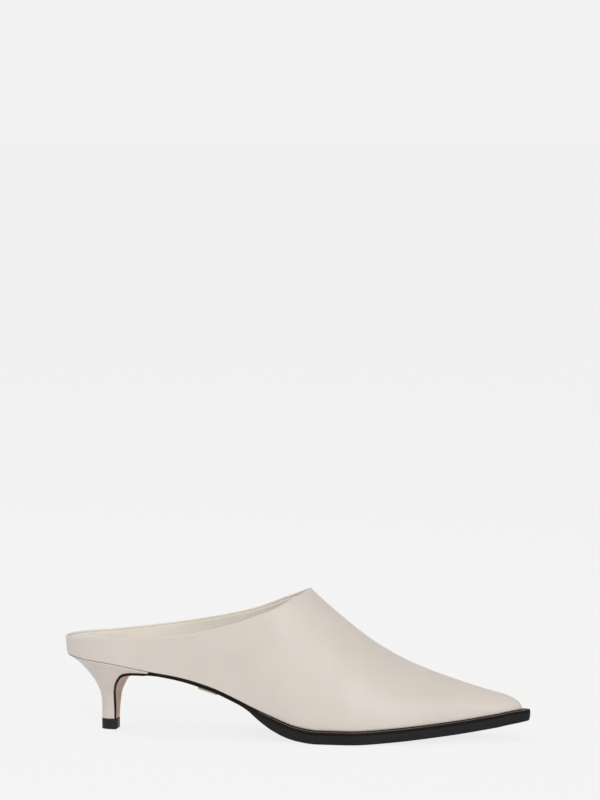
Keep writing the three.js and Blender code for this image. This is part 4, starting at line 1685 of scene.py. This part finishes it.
@dataclass
class Studio:
    """Pale seamless floor, soft lights and the camera of the photograph."""

    # Camera: the point it stands round, place and view in degrees, lens and sensor in mm, reach in metres
    aim: tuple[float, float, float] = (-0.00007, 0.00052, 0.040)
    distance: float = 2.2
    azimuth: float = 10.0
    elevation: float = 8.0
    yaw: float = 9.945
    pitch: float = 4.054
    lens: float = 172.2
    sensor: float = 36.0
    sees_to: float = 200.0
    # Floor, its own glow, and the air, which darkens overhead between two heights of the sky
    floor_radius: float = 80.0
    floor_rings: tuple[float, ...] = (0.0, 0.4, 1.2, 4.0, 12.0)
    floor_spokes: int = 96
    floor_colour: str = "#525252"
    floor_glow: float = 0.82
    air: str = "#f2f2f2"
    overhead: float = 0.6
    fade: tuple[float, float] = (0.1, 0.9)
    # Lights, in metres
    lamp_distance: float = 2.4
    lamp_size: float = 1.3
    lamps: tuple[Lamp, ...] = (
        Lamp("key_light", 22, 28, 23.5, (1.0, 0.95, 0.95)),
        Lamp("top_light", -95, 62, 14, (1.0, 1.0, 0.98)),
    )

    def floor(self) -> bpy.types.Object:
        """Makes the wide round floor, which meets the pale air at the horizon.

        Returns:
            The floor, outside the object.
        """
        radii = (*self.floor_rings, self.floor_radius)
        around = np.linspace(0, 2 * np.pi, self.floor_spokes, endpoint=False)
        rings = np.array([[(r * np.cos(a), r * np.sin(a), 0.0) for a in around] for r in radii])
        grid = Grid()
        grid.skin(grid.add(rings).T, closed=True)
        mesh = bpy.data.meshes.new("studio_floor")
        mesh.from_pydata(np.vstack(grid.points).tolist(), [], grid.faces)
        paint, tree, place = blank("lit_matt_acrylic")
        surfaced(tree, {
            "Base Color": linear(self.floor_colour),
            "Roughness": 0.95,
            "Specular IOR Level": 0.0,
            "Emission Color": (1.0, 1.0, 1.0, 1.0),
            "Emission Strength": self.floor_glow,
            "Normal": bumped(tree, noise(tree, place, 3.0), 0.1, Strength=0.2),
        })
        mesh.materials.append(paint)
        made = linked("studio_floor", cleaned(mesh, outward=False))
        return made

    def light(self, lamp: Lamp) -> None:
        """Adds a light that faces the shoe.

        Args:
            lamp: what it is and where it stands.
        """
        data = bpy.data.lights.new(lamp.name, "AREA")
        data.shape = "SQUARE"
        data.size = self.lamp_size
        data.energy = lamp.watts
        data.color = lamp.colour
        made = linked(lamp.name, data)
        away = towards(lamp.azimuth, lamp.elevation)
        made.location = Vector(self.aim) + away * self.lamp_distance
        made.rotation_euler = (-away).to_track_quat("-Z", "Y").to_euler()

    def camera(self) -> bpy.types.Object:
        """Makes the camera where the photograph was taken from.

        Returns:
            The camera.
        """
        data = bpy.data.cameras.new("photo_camera")
        data.lens = self.lens
        data.sensor_width = self.sensor
        data.clip_end = self.sees_to
        made = linked("photo_camera", data)
        made.location = Vector(self.aim) + towards(self.azimuth, self.elevation) * self.distance
        made.rotation_euler = (-towards(self.yaw, self.pitch)).to_track_quat("-Z", "Y").to_euler()
        bpy.context.scene.camera = made
        return made

    def world(self) -> None:
        """Makes the air pale all round and a little darker overhead."""
        made = bpy.data.worlds.new("studio_air")
        made.use_nodes = True
        tree = made.node_tree
        tree.nodes.clear()
        place = add_node(tree, "ShaderNodeTexCoord", {}).outputs["Generated"]
        height = add_node(tree, "ShaderNodeSeparateXYZ", {"Vector": place}).outputs["Z"]
        strength = mapped(tree, height, self.fade, (1.0, self.overhead))
        air = add_node(tree, "ShaderNodeBackground", {"Color": linear(self.air), "Strength": strength})
        add_node(tree, "ShaderNodeOutputWorld", {"Surface": air.outputs[0]})
        bpy.context.scene.world = made

    def build(self) -> None:
        """Sets up floor, light and camera."""
        self.floor()
        self.camera()
        for lamp in self.lamps:
            self.light(lamp)
        self.world()
        bpy.context.scene.view_settings.view_transform = "Standard"


def main() -> None:
    """Builds every sub-assembly in order and reports its pieces."""
    logging.basicConfig(level=logging.INFO, format="%(message)s", stream=sys.stdout)
    last = Last()
    place = Place(last)
    upper = Upper(last, place)
    heel = Heel(last, place)
    sole = Sole(last, place, heel)
    for assembly in (upper, Footbed(last, place, upper), heel, sole, WaistBar(last, place, sole)):
        for piece in assembly.build():
            triangles = sum(len(face.vertices) - 2 for face in piece.data.polygons)
            log.info("%s: %s, %d triangles", type(assembly).__name__, piece.name, triangles)
    Studio().build()


if __name__ == "__main__":
    main()
